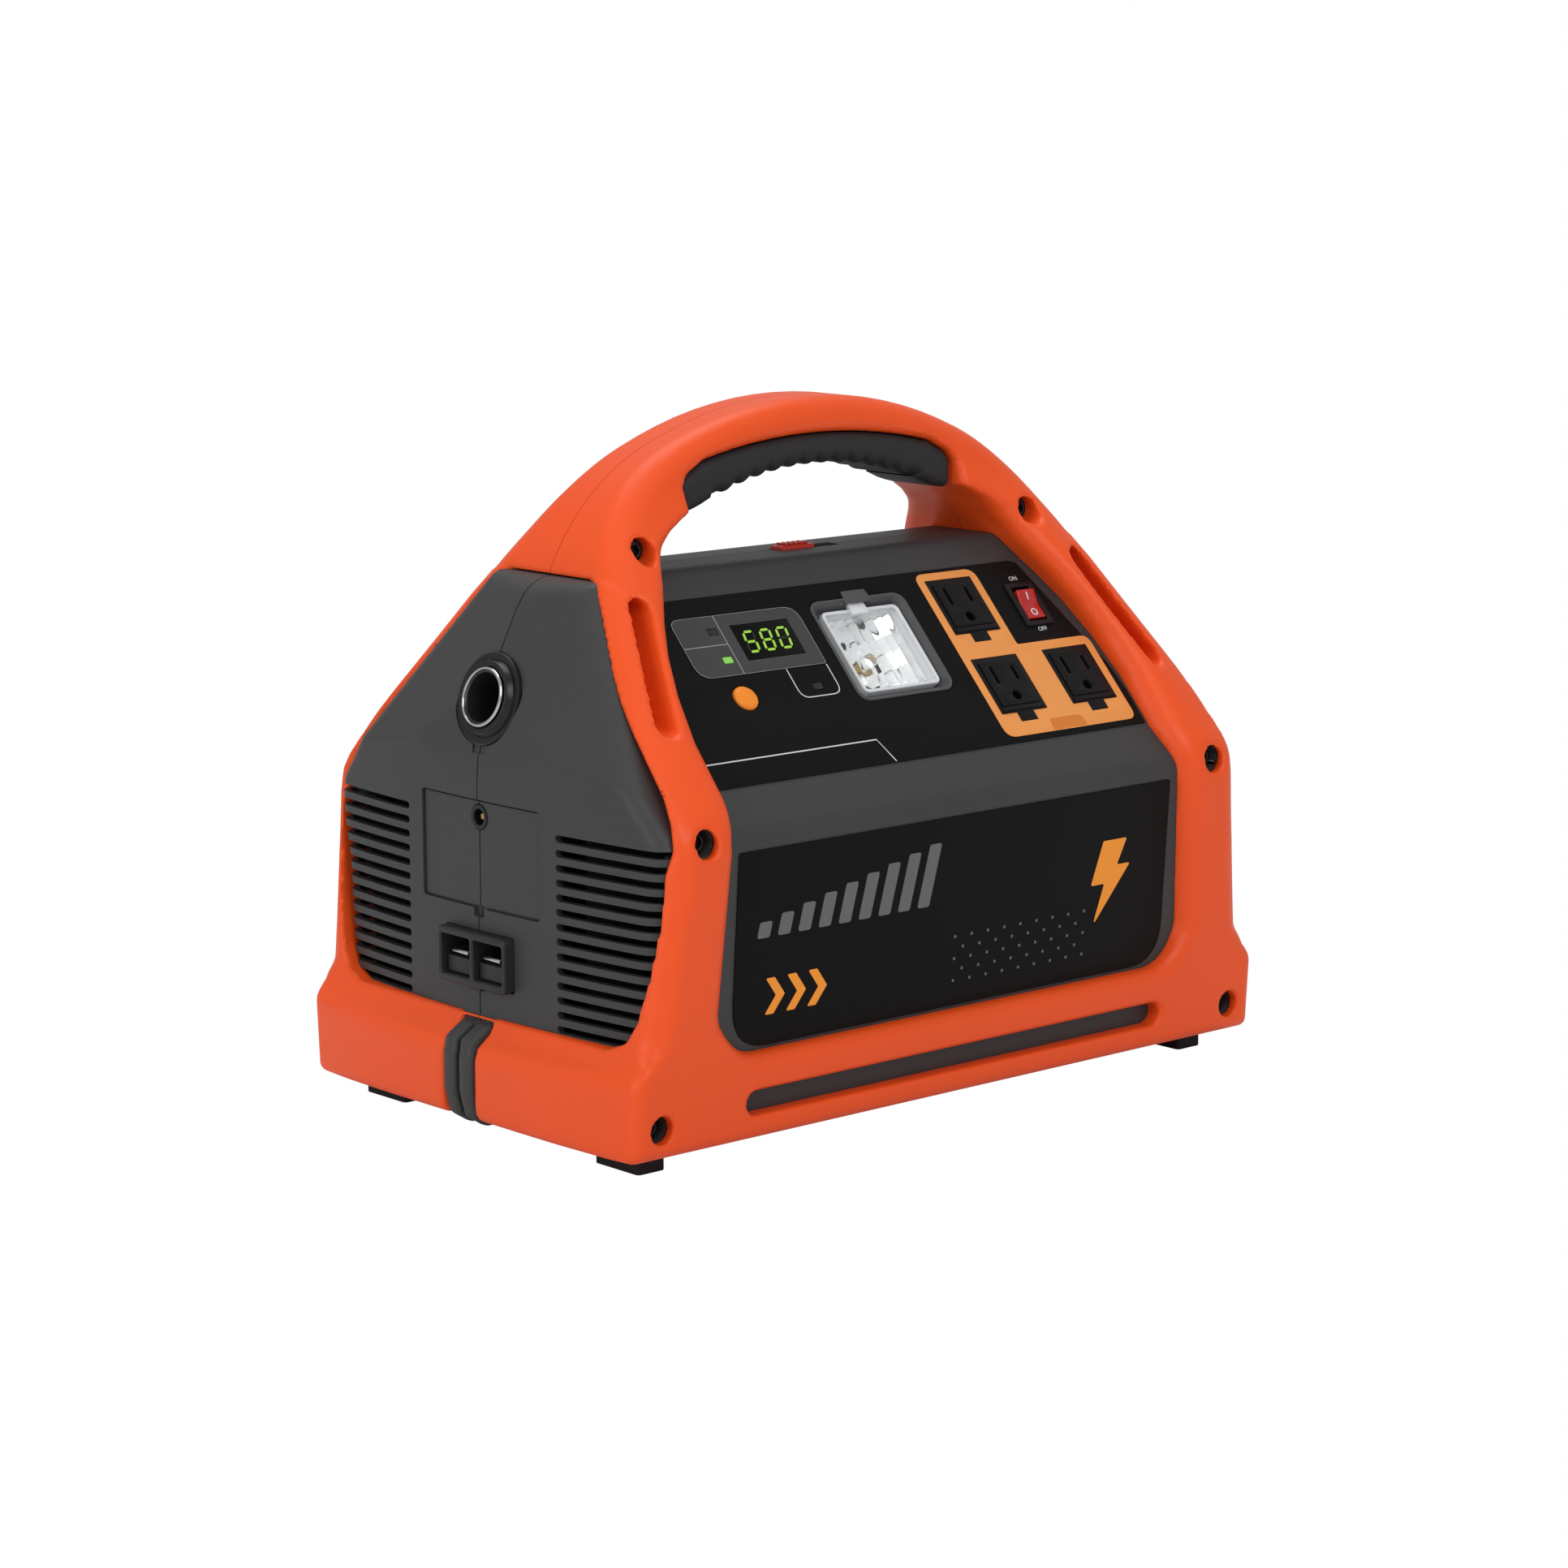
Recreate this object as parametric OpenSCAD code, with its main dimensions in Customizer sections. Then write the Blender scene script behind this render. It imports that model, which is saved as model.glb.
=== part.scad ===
// Portable jump starter pack with a roll-cage frame, slanted control panel and
// an internal battery. X runs along the pack, -Y is the front with the control
// panel, +Z is up. The origin is on the floor under the middle of the pack.

/* [Frame] */
// Overall width over the middle of the two end bumpers
base_w = 386; // [370:1:402]
// Half depth of the frame face at the height of the lowest screws
base_half = 113.5; // [110:0.5:117]
// Half depth of the frame face at the waist
waist_half = 122; // [119:0.5:125]
// Height of the waist, where the legs bend inwards
waist_z = 145; // [143:1:147]
// Angle of the upper legs from the vertical
leg_slope = 38.2; // [37.6:0.1:38.8]
// Height of the crown of the handle
crown_z = 310; // [306:1:315]
// Half depth of the handle
handle_half = 21; // [19:0.5:23]
// Half width of the frame at the top of the bumper
pillar_foot_x = 177; // [175:0.5:178]
// Half width of the frame at the waist
pillar_waist_x = 166.5; // [165:0.5:168]
// Half width of the frame where the body ends below the handle
shoulder_x = 139.5; // [138:0.5:141]
// Radius of the crown arc
crown_r = 215; // [205:1:230]
// Width of each leg, measured along X
leg_w = 29; // [26:0.5:31]
// Height of the bottom rail of the frame
rail_h = 37.5; // [34:0.5:40]
// Height of the end bumpers
bumper_h = 38; // [34:0.5:40]
// Width of the slots in the upper legs
leg_slot_w = 9.5; // [7:0.5:11]
// Height of the long slot in the bottom rail
rail_slot_h = 12.4; // [9:0.2:15]
// Half length of the long slot in the bottom rail
rail_slot_half = 126; // [110:1:130]
// Diameter of the screw recesses
recess_d = 12.8; // [12:0.2:14]
// Depth of the screw recesses below the frame face
recess_depth = 12; // [9:0.5:14]
// Diameter of the screw heads
screw_head_d = 10.6; // [9:0.2:11.4]
// Diameter of the screw shanks
screw_d = 4.8; // [4:0.2:5.6]

/* [Body] */
// Half length of the body at its end faces
body_half = 179; // [178:0.5:180]
// Height of the flat top of the body
body_top = 240.5; // [239:0.5:242]
// Half depth of the flat top
top_half = 21.5; // [20.5:0.5:23]
// Angle of the control panel from the vertical
panel_slope = 43; // [42.6:0.1:43.4]
// How far the lower face lies behind the frame face
face_sink = 8; // [7:0.5:9]
// Wall of the body shells
wall = 3; // [2.4:0.2:3.4]
// Radius of the rounded shoulder of the end faces
shoulder_r = 144; // [140:1:150]
// Number of cooling slots at each corner
vent_count = 14; // [8:1:15]
// Distance between cooling slots
vent_pitch = 6.3; // [5.6:0.1:6.6]
// Height of one cooling slot
vent_h = 3.2; // [2.4:0.2:3.8]
// Height of the feet
foot_h = 9.5; // [8:0.5:11]
// Length of a foot along the depth of the pack
foot_len = 29; // [24:1:34]
// Width of a foot
foot_w = 15; // [12:1:18]

/* [Controls] */
// Width of one mains outlet
outlet_w = 28; // [26:0.5:29]
// Height of one mains outlet along the panel
outlet_h = 30; // [29:0.5:31]
// Distance between the centres of the two lower outlets
outlet_gap = 44.8; // [43:0.2:46]
// Width of the display window
window_w = 32; // [28:0.5:34]
// Height of the display window along the panel
window_h = 18.5; // [16:0.5:20]
// Diameter of the display button
button_d = 12.6; // [11:0.2:14]
// Travel of the display button
button_travel = 2; // [1:0.1:2.5]
// Width of the rocker of the power switch
rocker_w = 10.8; // [9:0.2:12]
// Length of the rocker of the power switch
rocker_l = 18.4; // [16:0.2:20]
// Full swing of the rocker
rocker_swing = 16; // [10:1:18]
// Width of the emergency lamp lens
lens_w = 46; // [42:0.5:48]
// Height of the emergency lamp lens along the panel
lens_h = 44; // [40:0.5:46]
// Travel of the lamp slider on the top
slider_travel = 14; // [10:0.5:16]
// Length of the lamp slider
slider_l = 20; // [16:0.5:22]

/* [Power] */
// Inside diameter of the 12 V socket
socket_d = 21.2; // [20.9:0.1:21.5]
// Depth of the 12 V socket
socket_depth = 38; // [34:1:42]
// Length of the battery
battery_l = 166; // [150:1:172]
// Depth of the battery
battery_w = 175; // [160:1:181]
// Height of the battery
battery_h = 125; // [110:1:127]
// Width of the jumper lead connector
connector_w = 47; // [44:0.5:50]
// Height of the jumper lead connector
connector_h = 24; // [22:0.5:26]
// Side of the cooling fan
fan_w = 60; // [50:1:62]

/* [Hidden] */
$fn = 64;

orange = "orangered";
charcoal = [0.25, 0.25, 0.26];
black = [0.1, 0.1, 0.1];
metal = [0.75, 0.75, 0.77];

fit = 0.3;                                    // running gap between separate pieces
skin = 0.6;                                   // thickness of printed labels
far = 400;                                    // longer than anything that is cut
frame_bottom = foot_h;
body_bottom = frame_bottom + 3.5;
battery_z0 = body_bottom + wall + 3.4;
screw_z0 = frame_bottom + 13.2;
lean = (waist_half - base_half) / (waist_z - screw_z0);
land = 10;                                    // leg thickness over the body's end lands
flange = 8;                                   // thickness of the inner flange of a leg
bumper_bow = 1000;                            // plan radius of the bumper faces
end_bow = 760;                                // plan radius of the body's end faces
side_flare = 4.5;                             // how far a leg widens behind its front edge
bumper_top = frame_bottom + bumper_h;
rail_top = frame_bottom + rail_h;

// Depth of the frame face and of the body faces at a height, moved out by g
function frame_low(z, g = 0) = base_half + lean * (z - screw_z0) + g;
function frame_high(z, g = 0) = waist_half - (z - waist_z) * tan(leg_slope) + g / cos(leg_slope);
function frame_y(z) = min(frame_low(z), frame_high(z));
function panel_y(z, g = 0) = top_half + (body_top - z) * tan(panel_slope) + g / cos(panel_slope);
function face_y(z, g = 0) = frame_low(z, g - face_sink);
// Height where two of these lines cross
function cross_low_high(g) =
    (waist_half + g / cos(leg_slope) + waist_z * tan(leg_slope) - base_half - g + lean * screw_z0)
    / (lean + tan(leg_slope));
function cross_face_panel(g) =
    (top_half + g / cos(panel_slope) + body_top * tan(panel_slope)
     - base_half - g + face_sink + lean * screw_z0) / (lean + tan(panel_slope));
function arc(cx, cy, r, a0, a1, n = 12) =
    [for (i = [0:n]) [cx + r * cos(a0 + (a1 - a0) * i / n), cy + r * sin(a0 + (a1 - a0) * i / n)]];
function mirrored(pts) =
    concat(pts, [for (i = [len(pts) - 1:-1:0]) [-pts[i][0], pts[i][1]]]);

// Outline in X and Z pushed along Y from y0 to y1
module prism_y(pts, y0, y1) {
    translate([0, y1, 0])
        rotate([90, 0, 0])
            linear_extrude(y1 - y0) polygon(pts);
}

// Outline in Y and Z pushed along X from x0 to x1
module prism_x(pts, x0, x1) {
    translate([x0, 0, 0])
        rotate([90, 0, 90])
            linear_extrude(x1 - x0) polygon(pts);
}

// Two large upright cylinders that give an end face its bow
module bowed_ends(half, bow) {
    intersection() {
        translate([bow - half, 0, -1]) cylinder(h = far, r = bow, $fn = 180);
        translate([half - bow, 0, -1]) cylinder(h = far, r = bow, $fn = 180);
    }
}

// Everything beyond a plane through point p with the outward normal n, g further out
module beyond(p, n, g = 0) {
    translate(p)
        rotate([0, acos(n[2] / norm(n)), atan2(n[1], n[0])])
            translate([-far, -far, g]) cube([2 * far, 2 * far, far]);
}

module both_sides() {
    children();
    mirror([1, 0, 0]) children();
}

// Puts a child on the control panel: u along X, s down the slope, +Z outwards
module on_panel(u, s, w = 0) {
    translate([0, -top_half, body_top])
        rotate([90 - panel_slope, 0, 0])
            translate([u, -s, w]) children();
}

module rounded_plate(w, h, t, r) {
    linear_extrude(t)
        union() {
            square([w - 2 * r, h], center = true);
            square([w, h - 2 * r], center = true);
            for (x = [-1, 1])
                for (y = [-1, 1])
                    translate([x * (w / 2 - r), y * (h / 2 - r)]) circle(r);
        }
}

/* ---- Frame ---- */
corner_r = 100;                               // arc between the crown and the legs
crown_join = 24.2;                            // angle where the two arcs meet
leg_run = (pillar_waist_x - shoulder_x) / (body_top - waist_z - 21);
corner_cx = (crown_r - corner_r) * sin(crown_join);
corner_cz = crown_z - crown_r + (crown_r - corner_r) * cos(crown_join);
shoulder_turn = asin((body_top + 1 - corner_cz) / corner_r);
side_n = [0.9, -1, tan(leg_slope) + 0.9 * leg_run];

// Half outline of the frame from the front, from the underside up to the crown
frame_half_outline = concat(
    [[base_w / 2 - 14, frame_bottom], [base_w / 2 - 6, frame_bottom + 4],
     [base_w / 2, frame_bottom + 12], [base_w / 2, bumper_top - 7],
     [base_w / 2 - 4, bumper_top], [pillar_foot_x + 2, bumper_top + 4],
     [pillar_foot_x, bumper_top + 8], [pillar_waist_x + side_flare, waist_z - 5],
     [pillar_waist_x + side_flare, waist_z + 21],
     [shoulder_x + side_flare + 1.5, body_top - 2.5]],
    arc(corner_cx, corner_cz, corner_r, shoulder_turn, 90 - crown_join, 10),
    arc(0, crown_z - crown_r, crown_r, 90 - crown_join, 90, 8));

// Side outline of the front half of the frame
handle_foot_z = waist_z + (waist_half - handle_half) / tan(leg_slope);
frame_side_outline = [
    [0, frame_bottom], [-frame_low(frame_bottom) + 5, frame_bottom],
    [-frame_low(frame_bottom + 5), frame_bottom + 5],
    [-frame_low(cross_low_high(0)), cross_low_high(0)],
    [-handle_half, handle_foot_z], [-handle_half, crown_z - 14],
    [-handle_half + 4, crown_z - 6], [-handle_half + 11, crown_z - 1], [0, crown_z]];

function leg_outer(z) = z < waist_z + 21
    ? pillar_foot_x + (pillar_waist_x - pillar_foot_x) * (z - bumper_top - 8)
      / (waist_z + 13 - bumper_top)
    : pillar_waist_x - leg_run * (z - waist_z - 21);
function leg_inner(z) = leg_outer(z) - leg_w - max(0, z - 150) * 0.07;

// Half outline of the window between the legs, up to the underside of the handle
grip_half = 84;                               // half length of the handle grip
grip_face = 16;                               // orange above the grip at the crown
grip_t = 12.5;                                // thickness of the grip below the crown
pad_top = crown_z - grip_face;
grip_r = 300;                                 // radius of the grip's upper edge
pad_end_z = pad_top - grip_r + sqrt(grip_r * grip_r - pow(grip_half - 12, 2));
window_half_outline = concat(
    [[leg_inner(rail_top) - 18, rail_top], [leg_inner(rail_top) - 5, rail_top + 5],
     [leg_inner(rail_top + 18), rail_top + 18],
     [leg_inner(waist_z), waist_z], [leg_inner(waist_z + 40), waist_z + 40],
     [leg_inner(body_top - 28), body_top - 28], [leg_inner(body_top - 8), body_top - 8],
     [leg_inner(body_top) - 3, body_top + 4], [leg_inner(body_top) - 11, body_top + 14],
     [grip_half - 2, body_top + 21], [grip_half, body_top + 27],
     [grip_half, pad_end_z - 8], [grip_half - 3, pad_end_z - 3]],
    arc(0, pad_top - grip_r, grip_r, 90 - asin((grip_half - 12) / grip_r), 90, 6));

// Half outline of the hand hole, from the top of the body up to the grip
hand_top = pad_top - grip_t;
hand_half_outline = concat(
    [[leg_inner(body_top) + 3, body_top - 4], [leg_inner(body_top) - 3, body_top + 4],
     [leg_inner(body_top) - 11, body_top + 14], [grip_half - 6, body_top + 22],
     [grip_half - 16, body_top + 25.5], [grip_half - 25, body_top + 29]],
    arc(0, hand_top - 170, 170, 90 - 17, 90, 6));

// Stands a child at each screw; $depth is the frame's half depth there
module screw_places() {
    for (p = [[shoulder_x - 24.5, body_top + 11], [leg_outer(waist_z) - 16.5, waist_z - 3.6],
              [base_w / 2 - 21.5, screw_z0]])
        both_sides()
            let ($depth = frame_y(p[1]))
                translate([p[0], -$depth, p[1]])
                    rotate([-90, 0, 0]) children();
}

module leg_slots() {
    slot_len = 54;
    both_sides()
        translate([leg_outer(207) - 14, 0, 207])
            rotate([90, -atan(leg_run) * 0.85, 0])
                linear_extrude(far)
                    union() {
                        square([leg_slot_w, slot_len], center = true);
                        translate([0, slot_len / 2]) circle(leg_slot_w / 2);
                        translate([0, -slot_len / 2]) circle(leg_slot_w / 2);
                    }
}

module rail_slot() {
    translate([0, -base_half + 12, screw_z0 + 4])
        rotate([90, 0, 0])
            linear_extrude(far)
                union() {
                    square([2 * rail_slot_half - rail_slot_h, rail_slot_h], center = true);
                    for (x = [-1, 1])
                        translate([x * (rail_slot_half - rail_slot_h / 2), 0])
                            circle(rail_slot_h / 2);
                }
}

// Half outline, in Y and Z, of the part of an end face that the frame leaves bare
end_window = [[84, bumper_top + 6.5], [95, bumper_top + 10.5], [101, 67], [106, 86], [110, 110],
              [111.5, 135], [109, 150], [frame_high(166, -land), 166]];

// One half of the orange cage, with its leg flanges, bumpers and screw recesses
module frame_half() {
    difference() {
        intersection() {
            prism_y(mirrored(frame_half_outline), -far, 0);
            prism_x(frame_side_outline, -far, far);
            bowed_ends(base_w / 2, bumper_bow);
        }
        both_sides() {
            beyond([leg_outer(200), -frame_high(200), 200], side_n);
            prism_x(mirrored(end_window), 150, far);
        }
        prism_y(mirrored(window_half_outline), -far, 1);
        body_envelope(fit);
        base_strips(fit);
        translate([-pillar_foot_x + 52, -far, 0])
            cube([2 * (pillar_foot_x - 52), far + 1 - base_half + 12, body_bottom]);
        translate([-pillar_foot_x + 52, -base_half + 14, 0])
            cube([2 * (pillar_foot_x - 52), far, body_bottom + 1]);
        leg_slots();
        rail_slot();
        screw_places() {
            translate([0, 0, -far]) cylinder(h = far + recess_depth, d = recess_d);
            cylinder(h = far / 8, d = screw_d + 0.4);
        }
    }
}

module frame_front() {
    color(orange) frame_half();
}

module frame_rear() {
    color(orange) mirror([0, 1, 0]) frame_half();
}

// Soft overmould on the underside of the handle, with finger ridges
module handle_grip() {
    ridge_pitch = 11.5;
    color(black)
        difference() {
            intersection() {
                prism_y(mirrored(window_half_outline), -handle_half, handle_half);
                translate([-grip_half - 1, -far / 2, body_top + 22])
                    cube([2 * grip_half + 2, far, far]);
            }
            prism_y(mirrored(hand_half_outline), -far / 2, far / 2);
            for (i = [-5:5])
                translate([i * ridge_pitch + ridge_pitch / 2, 0,
                           hand_top - 170 + sqrt(170 * 170 - pow(i * ridge_pitch + 5.7, 2)) - 3.6])
                    rotate([90, 0, 0])
                        cylinder(h = far, r = 5, center = true);
        }
}

/* ---- Body ---- */
// Side outline of the whole body between the legs, moved out by g
function body_side(g) =
    let (bend = cross_face_panel(g), top = body_top + g, low = body_bottom - g)
    [[-face_y(low, g), low], [-face_y(bend, g), bend], [-panel_y(top, g), top],
     [panel_y(top, g), top], [face_y(bend, g), bend], [face_y(low, g), low]];
// Side outline behind the legs, where the body rises close to the frame face
function land_side(g) =
    let (bend = cross_low_high(g - land), top = body_top + g, low = body_bottom - g)
    [[-frame_low(low, g - face_sink), low], [-frame_low(bend, g - face_sink), bend - 6],
     [-frame_high(bend + 3, g - land), bend + 3], [-frame_high(top, g - land), top],
     [frame_high(top, g - land), top], [frame_high(bend + 3, g - land), bend + 3],
     [frame_low(bend, g - face_sink), bend - 6], [frame_low(low, g - face_sink), low]];
function land_region(g) =
    [[far, -1], [leg_inner(60) + flange - g, -1], [leg_inner(waist_z) + flange - g, waist_z],
     [leg_inner(waist_z + 40) + flange - g, waist_z + 40],
     [leg_inner(body_top) + flange - g, body_top + 1], [far, body_top + 1]];

module end_outline(g) {
    half = body_half + g;
    r = shoulder_r + g;
    shoulder_z = 150;
    prism_y(mirrored(concat(
        [[half, body_bottom - g], [half, shoulder_z]],
        arc(half - r, shoulder_z, r, 0, asin((body_top - shoulder_z) / shoulder_r), 16),
        [[half - r + r * cos(asin((body_top - shoulder_z) / shoulder_r)), body_top + g]])),
        -far, far);
}

// Planes that draw the upper corners of the end faces in towards the legs
nose_turn = 0.168;
nose_n = [1, -nose_turn, nose_turn * tan(leg_slope) + leg_run];
nose_p = [leg_outer(205) + side_flare + 0.6, -frame_high(205, -land), 205];

// The closed outer form of the two body halves together, moved out by g
module body_envelope(g = 0) {
    intersection() {
        union() {
            prism_x(body_side(g), -far, far);
            intersection() {
                prism_x(land_side(g), -far, far);
                union() {
                    prism_y(land_region(g), -far, far);
                    mirror([1, 0, 0]) prism_y(land_region(g), -far, far);
                }
            }
        }
        end_outline(g);
        translate([0, 0, -g]) bowed_ends(body_half + g, end_bow);
        difference() {
            cube(4 * far, center = true);
            both_sides() {
                beyond(nose_p, nose_n, g);
                mirror([0, 1, 0]) beyond(nose_p, nose_n, g);
            }
            for (turn = [0, 1])
                mirror([0, turn, 0])
                    screw_places()
                        translate([0, 0, -far])
                            cylinder(h = far + recess_depth + 2.5 - g, d = recess_d + 5 - 2 * g);
        }
    }
}

// Strip of the body that shows between the two halves of each bumper
strip_half = 10;
module base_strips(g = 0) {
    both_sides()
        intersection() {
            translate([body_half - 20, -strip_half - g, body_bottom - 6 - g])
                cube([far, 2 * (strip_half + g), bumper_top + 4 - body_bottom + 6 + 2 * g]);
            prism_y([[0, body_bottom - 6 - g], [base_w / 2 - 12, body_bottom - 6 - g],
                     [base_w / 2 - 3 + g, frame_bottom + 4], [base_w / 2 + g, frame_bottom + 14],
                     [base_w / 2 + g, bumper_top - 6], [base_w / 2 - 3 + g, bumper_top - 1],
                     [body_half + g, bumper_top + 4 + g], [0, bumper_top + 4 + g]], -far, far);
        }
}

vent_z0 = 56;
module vents() {
    both_sides()
        for (i = [0:vent_count - 1])
            translate([160, -far, vent_z0 + i * vent_pitch - vent_h / 2])
                cube([far, far - 51, vent_h]);
}

// Places of the controls on the panel, in u and s
outlet_u = 61.4;
outlet_top_s = 37.7;
outlet_low_s = 82;
display_u = -70;
display_s = 42.4;
window_u = -58.5;
button_u = -87.3;
button_s = 69.8;
rocker_u = 100.8;
rocker_s = 41.6;
lamp_u = 2.1;
lamp_s = 53;
recess_w = lens_w + 11;
recess_h = lens_h + 10.5;
lens_u = 3.8;
lens_s = 52.4;

function outlet_places() = [[outlet_u, outlet_top_s], [outlet_u, outlet_low_s],
                            [outlet_u + outlet_gap, outlet_low_s]];

module outlet_outline(g, t) {
    linear_extrude(t)
        union() {
            square([outlet_w + 2 * g, outlet_h + 2 * g], center = true);
            translate([0, -outlet_h / 2 - 2.5]) square([10 + 2 * g, 5 + 2 * g], center = true);
        }
}

module panel_cuts(g) {
    for (p = outlet_places())
        on_panel(p[0], p[1], -20) outlet_outline(g, 40);
    on_panel(rocker_u, rocker_s, -20)
        linear_extrude(40) square([rocker_w + 3.6 + 2 * g, rocker_l + 3.6 + 2 * g], center = true);
    on_panel(button_u, button_s, -20) cylinder(h = 40, d = button_d + 2 * g + 0.6);
    on_panel(lamp_u, lamp_s, -20) rounded_plate(recess_w + 2 * g, recess_h + 2 * g, 40, 6);
    on_panel(window_u, display_s, -20)
        linear_extrude(40) square([window_w + 2 * g, window_h + 2 * g], center = true);
    for (p = led_places())
        on_panel(p[0], p[1], -20)
            linear_extrude(40) square([5 + 2 * g, 3.2 + 2 * g], center = true);
}

function led_places() = [[-85.8, 35], [-85.8, 50], [-45.7, 69]];

slider_u = 1 + slider_l / 2 - 9;
slot_l = slider_l + slider_travel + 2;

socket_tilt = 16.5;
socket_z = 150 + shoulder_r * sin(socket_tilt);
socket_x = -(body_half - shoulder_r + shoulder_r * cos(socket_tilt));
// Puts a child on the sloped end, +Z out of the socket mouth
module at_socket(w = 0) {
    translate([socket_x, 0, socket_z])
        rotate([0, -90 + socket_tilt, 0])
            translate([0, 0, w]) children();
}

jack_z = 140;
connector_z = 78.5;

module end_cuts() {
    at_socket(-60) cylinder(h = 120, d = socket_d + 9 + 2 * fit);
    at_socket(-2.6) cylinder(h = 60, d = socket_d + 20.5);
    translate([-far, 0, jack_z])
        rotate([0, 90, 0]) cylinder(h = far - body_half + 20, d = 11 + 2 * fit);
    translate([-far, -connector_w / 2 - fit, connector_z - connector_h / 2 - fit])
        cube([far - body_half + 20, connector_w + 2 * fit, connector_h + 2 * fit]);
}

module label_recess() {
    translate([-body_half - 5.6, 0, 124])
        rotate([0, 90, 0]) linear_extrude(6) square([47, 81], center = true);
}

module body_shell() {
    difference() {
        union() {
            difference() {
                body_envelope(0);
                body_envelope(-wall);
            }
            difference() {
                base_strips(0);
                translate([-body_half + 4, -far / 2, 0]) cube([2 * body_half - 8, far, far]);
            }
        }
        translate([8, 0, body_top - wall - 1])
            linear_extrude(far)
                square([slot_l, 9.4], center = true);
        end_cuts();
        label_recess();
    }
}

// Screw bosses inside the front half of the shell
module screw_bosses() {
    difference() {
        intersection() {
            screw_places()
                translate([0, 0, recess_depth + 3]) cylinder(h = 60, d = screw_d + 6);
            body_envelope(-wall + 0.2);
        }
        screw_places() cylinder(h = 80, d = screw_d - 0.2);
    }
}

module body_half_shell() {
    difference() {
        union() {
            intersection() {
                body_shell();
                translate([-far, -far, 0]) cube([2 * far, far, far]);
            }
            intersection() {
                screw_bosses();
                translate([-far, -far, 0]) cube([2 * far, far - 2, far]);
            }
        }
        vents();
        screw_places() translate([0, 0, -far / 2]) cylinder(h = far, d = screw_d + 0.4);
    }
}

module body_front() {
    color(charcoal)
        difference() {
            body_half_shell();
            panel_cuts(fit);
        }
}

module body_rear() {
    color(charcoal) mirror([0, 1, 0]) body_half_shell();
}

module screws() {
    screw_places() {
        translate([0, 0, recess_depth - 3.6 - fit])
            difference() {
                cylinder(h = 3.6, d = screw_head_d);
                translate([0, 0, -1]) cylinder(h = 3.2, d = 5, $fn = 6);
            }
        translate([0, 0, recess_depth - fit])
            cylinder(h = min(24, $depth - recess_depth - 2), d = screw_d - 0.4);
    }
}

module frame_screws_front() {
    color(black) screws();
}

module frame_screws_rear() {
    color(black) mirror([0, 1, 0]) screws();
}

module feet() {
    color(black)
        for (x = [-1, 1])
            for (y = [-1, 1])
                translate([x * (base_w / 2 - 29.5), y * (base_half - 32), 0])
                    translate([-foot_w / 2, -foot_len / 2, 0]) cube([foot_w, foot_len, foot_h]);
}

/* ---- Labels and trim ---- */
module panel_label() {
    edge = function(s) leg_inner(body_top - s * cos(panel_slope)) - 2.5;
    color(black)
        difference() {
            on_panel(0, 0, 0.02)
                linear_extrude(skin)
                    polygon(mirrored([[edge(113), -113], [edge(60), -60], [edge(16), -16]]));
            panel_cuts(fit);
        }
}

module face_label() {
    top = cross_face_panel(0) - 7;
    low = rail_top + 1.5;
    side = leg_inner(waist_z) - 1.5;
    color(black)
        translate([0, -face_y(0) - 0.02, 0])
            rotate([90 + atan(lean), 0, 0])
                linear_extrude(skin)
                    polygon(mirrored([[side - 20, low], [side - 6, low + 6], [side, low + 20],
                                      [side, top]]));
}

module outlet_surround() {
    left = outlet_u - outlet_w / 2 - 4.5;
    right = outlet_u + outlet_gap + outlet_w / 2 + 4.5;
    mid = outlet_u + outlet_w / 2 + 4.5;
    top = outlet_top_s - outlet_h / 2 - 4.2;
    step = outlet_low_s - outlet_h / 2 - 5;
    low = outlet_low_s + outlet_h / 2 + 12.5;
    color("sandybrown")
        difference() {
            on_panel(0, 0, skin + 0.04)
                linear_extrude(0.5)
                    polygon([[left + 3, -low], [right - 4, -low], [right, -low + 4],
                             [right, -step - 4], [right - 4, -step], [mid, -step],
                             [mid, -top - 4], [mid - 4, -top], [left + 3, -top],
                             [left, -top - 3], [left, -low + 3]]);
            panel_cuts(fit);
        }
}

/* ---- Mains outlets ---- */
blade_gap = 12.7;
outlet_foot_z = body_top - (outlet_low_s + outlet_h / 2 + 5) * cos(panel_slope);
outlet_depth = min(22, (outlet_foot_z - battery_z0 - battery_h - 2) / sin(panel_slope));
module mains_outlet(u, s) {
    color(black)
        on_panel(u, s)
            difference() {
                union() {
                    translate([0, 0, -outlet_depth]) outlet_outline(0, outlet_depth + 1.4);
                    translate([0, 0, -wall - 3])
                        linear_extrude(3 - fit)
                            square([outlet_w + 5, outlet_h + 5], center = true);
                }
                for (x = [-1, 1])
                    translate([x * blade_gap / 2, 5, 4 - outlet_depth])
                        linear_extrude(30)
                            square([1.9, x < 0 ? 9.2 : 7.4], center = true);
                translate([0, -6.9, 4 - outlet_depth]) cylinder(h = 30, d = 5.2);
            }
}

module outlet_top() {
    mains_outlet(outlet_places()[0][0], outlet_places()[0][1]);
}

module outlet_left() {
    mains_outlet(outlet_places()[1][0], outlet_places()[1][1]);
}

module outlet_right() {
    mains_outlet(outlet_places()[2][0], outlet_places()[2][1]);
}

// Brass grips at the back of the slots, two blades and one earth for each outlet
module outlet_contacts() {
    color("goldenrod")
        for (p = outlet_places())
            on_panel(p[0], p[1], 4 - outlet_depth) {
                for (x = [-1, 1])
                    translate([x * blade_gap / 2, 5, 0])
                        linear_extrude(8) square([1.2, 6], center = true);
                translate([0, -6.9, 0]) cylinder(h = 8, d = 3.6);
            }
}

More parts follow.
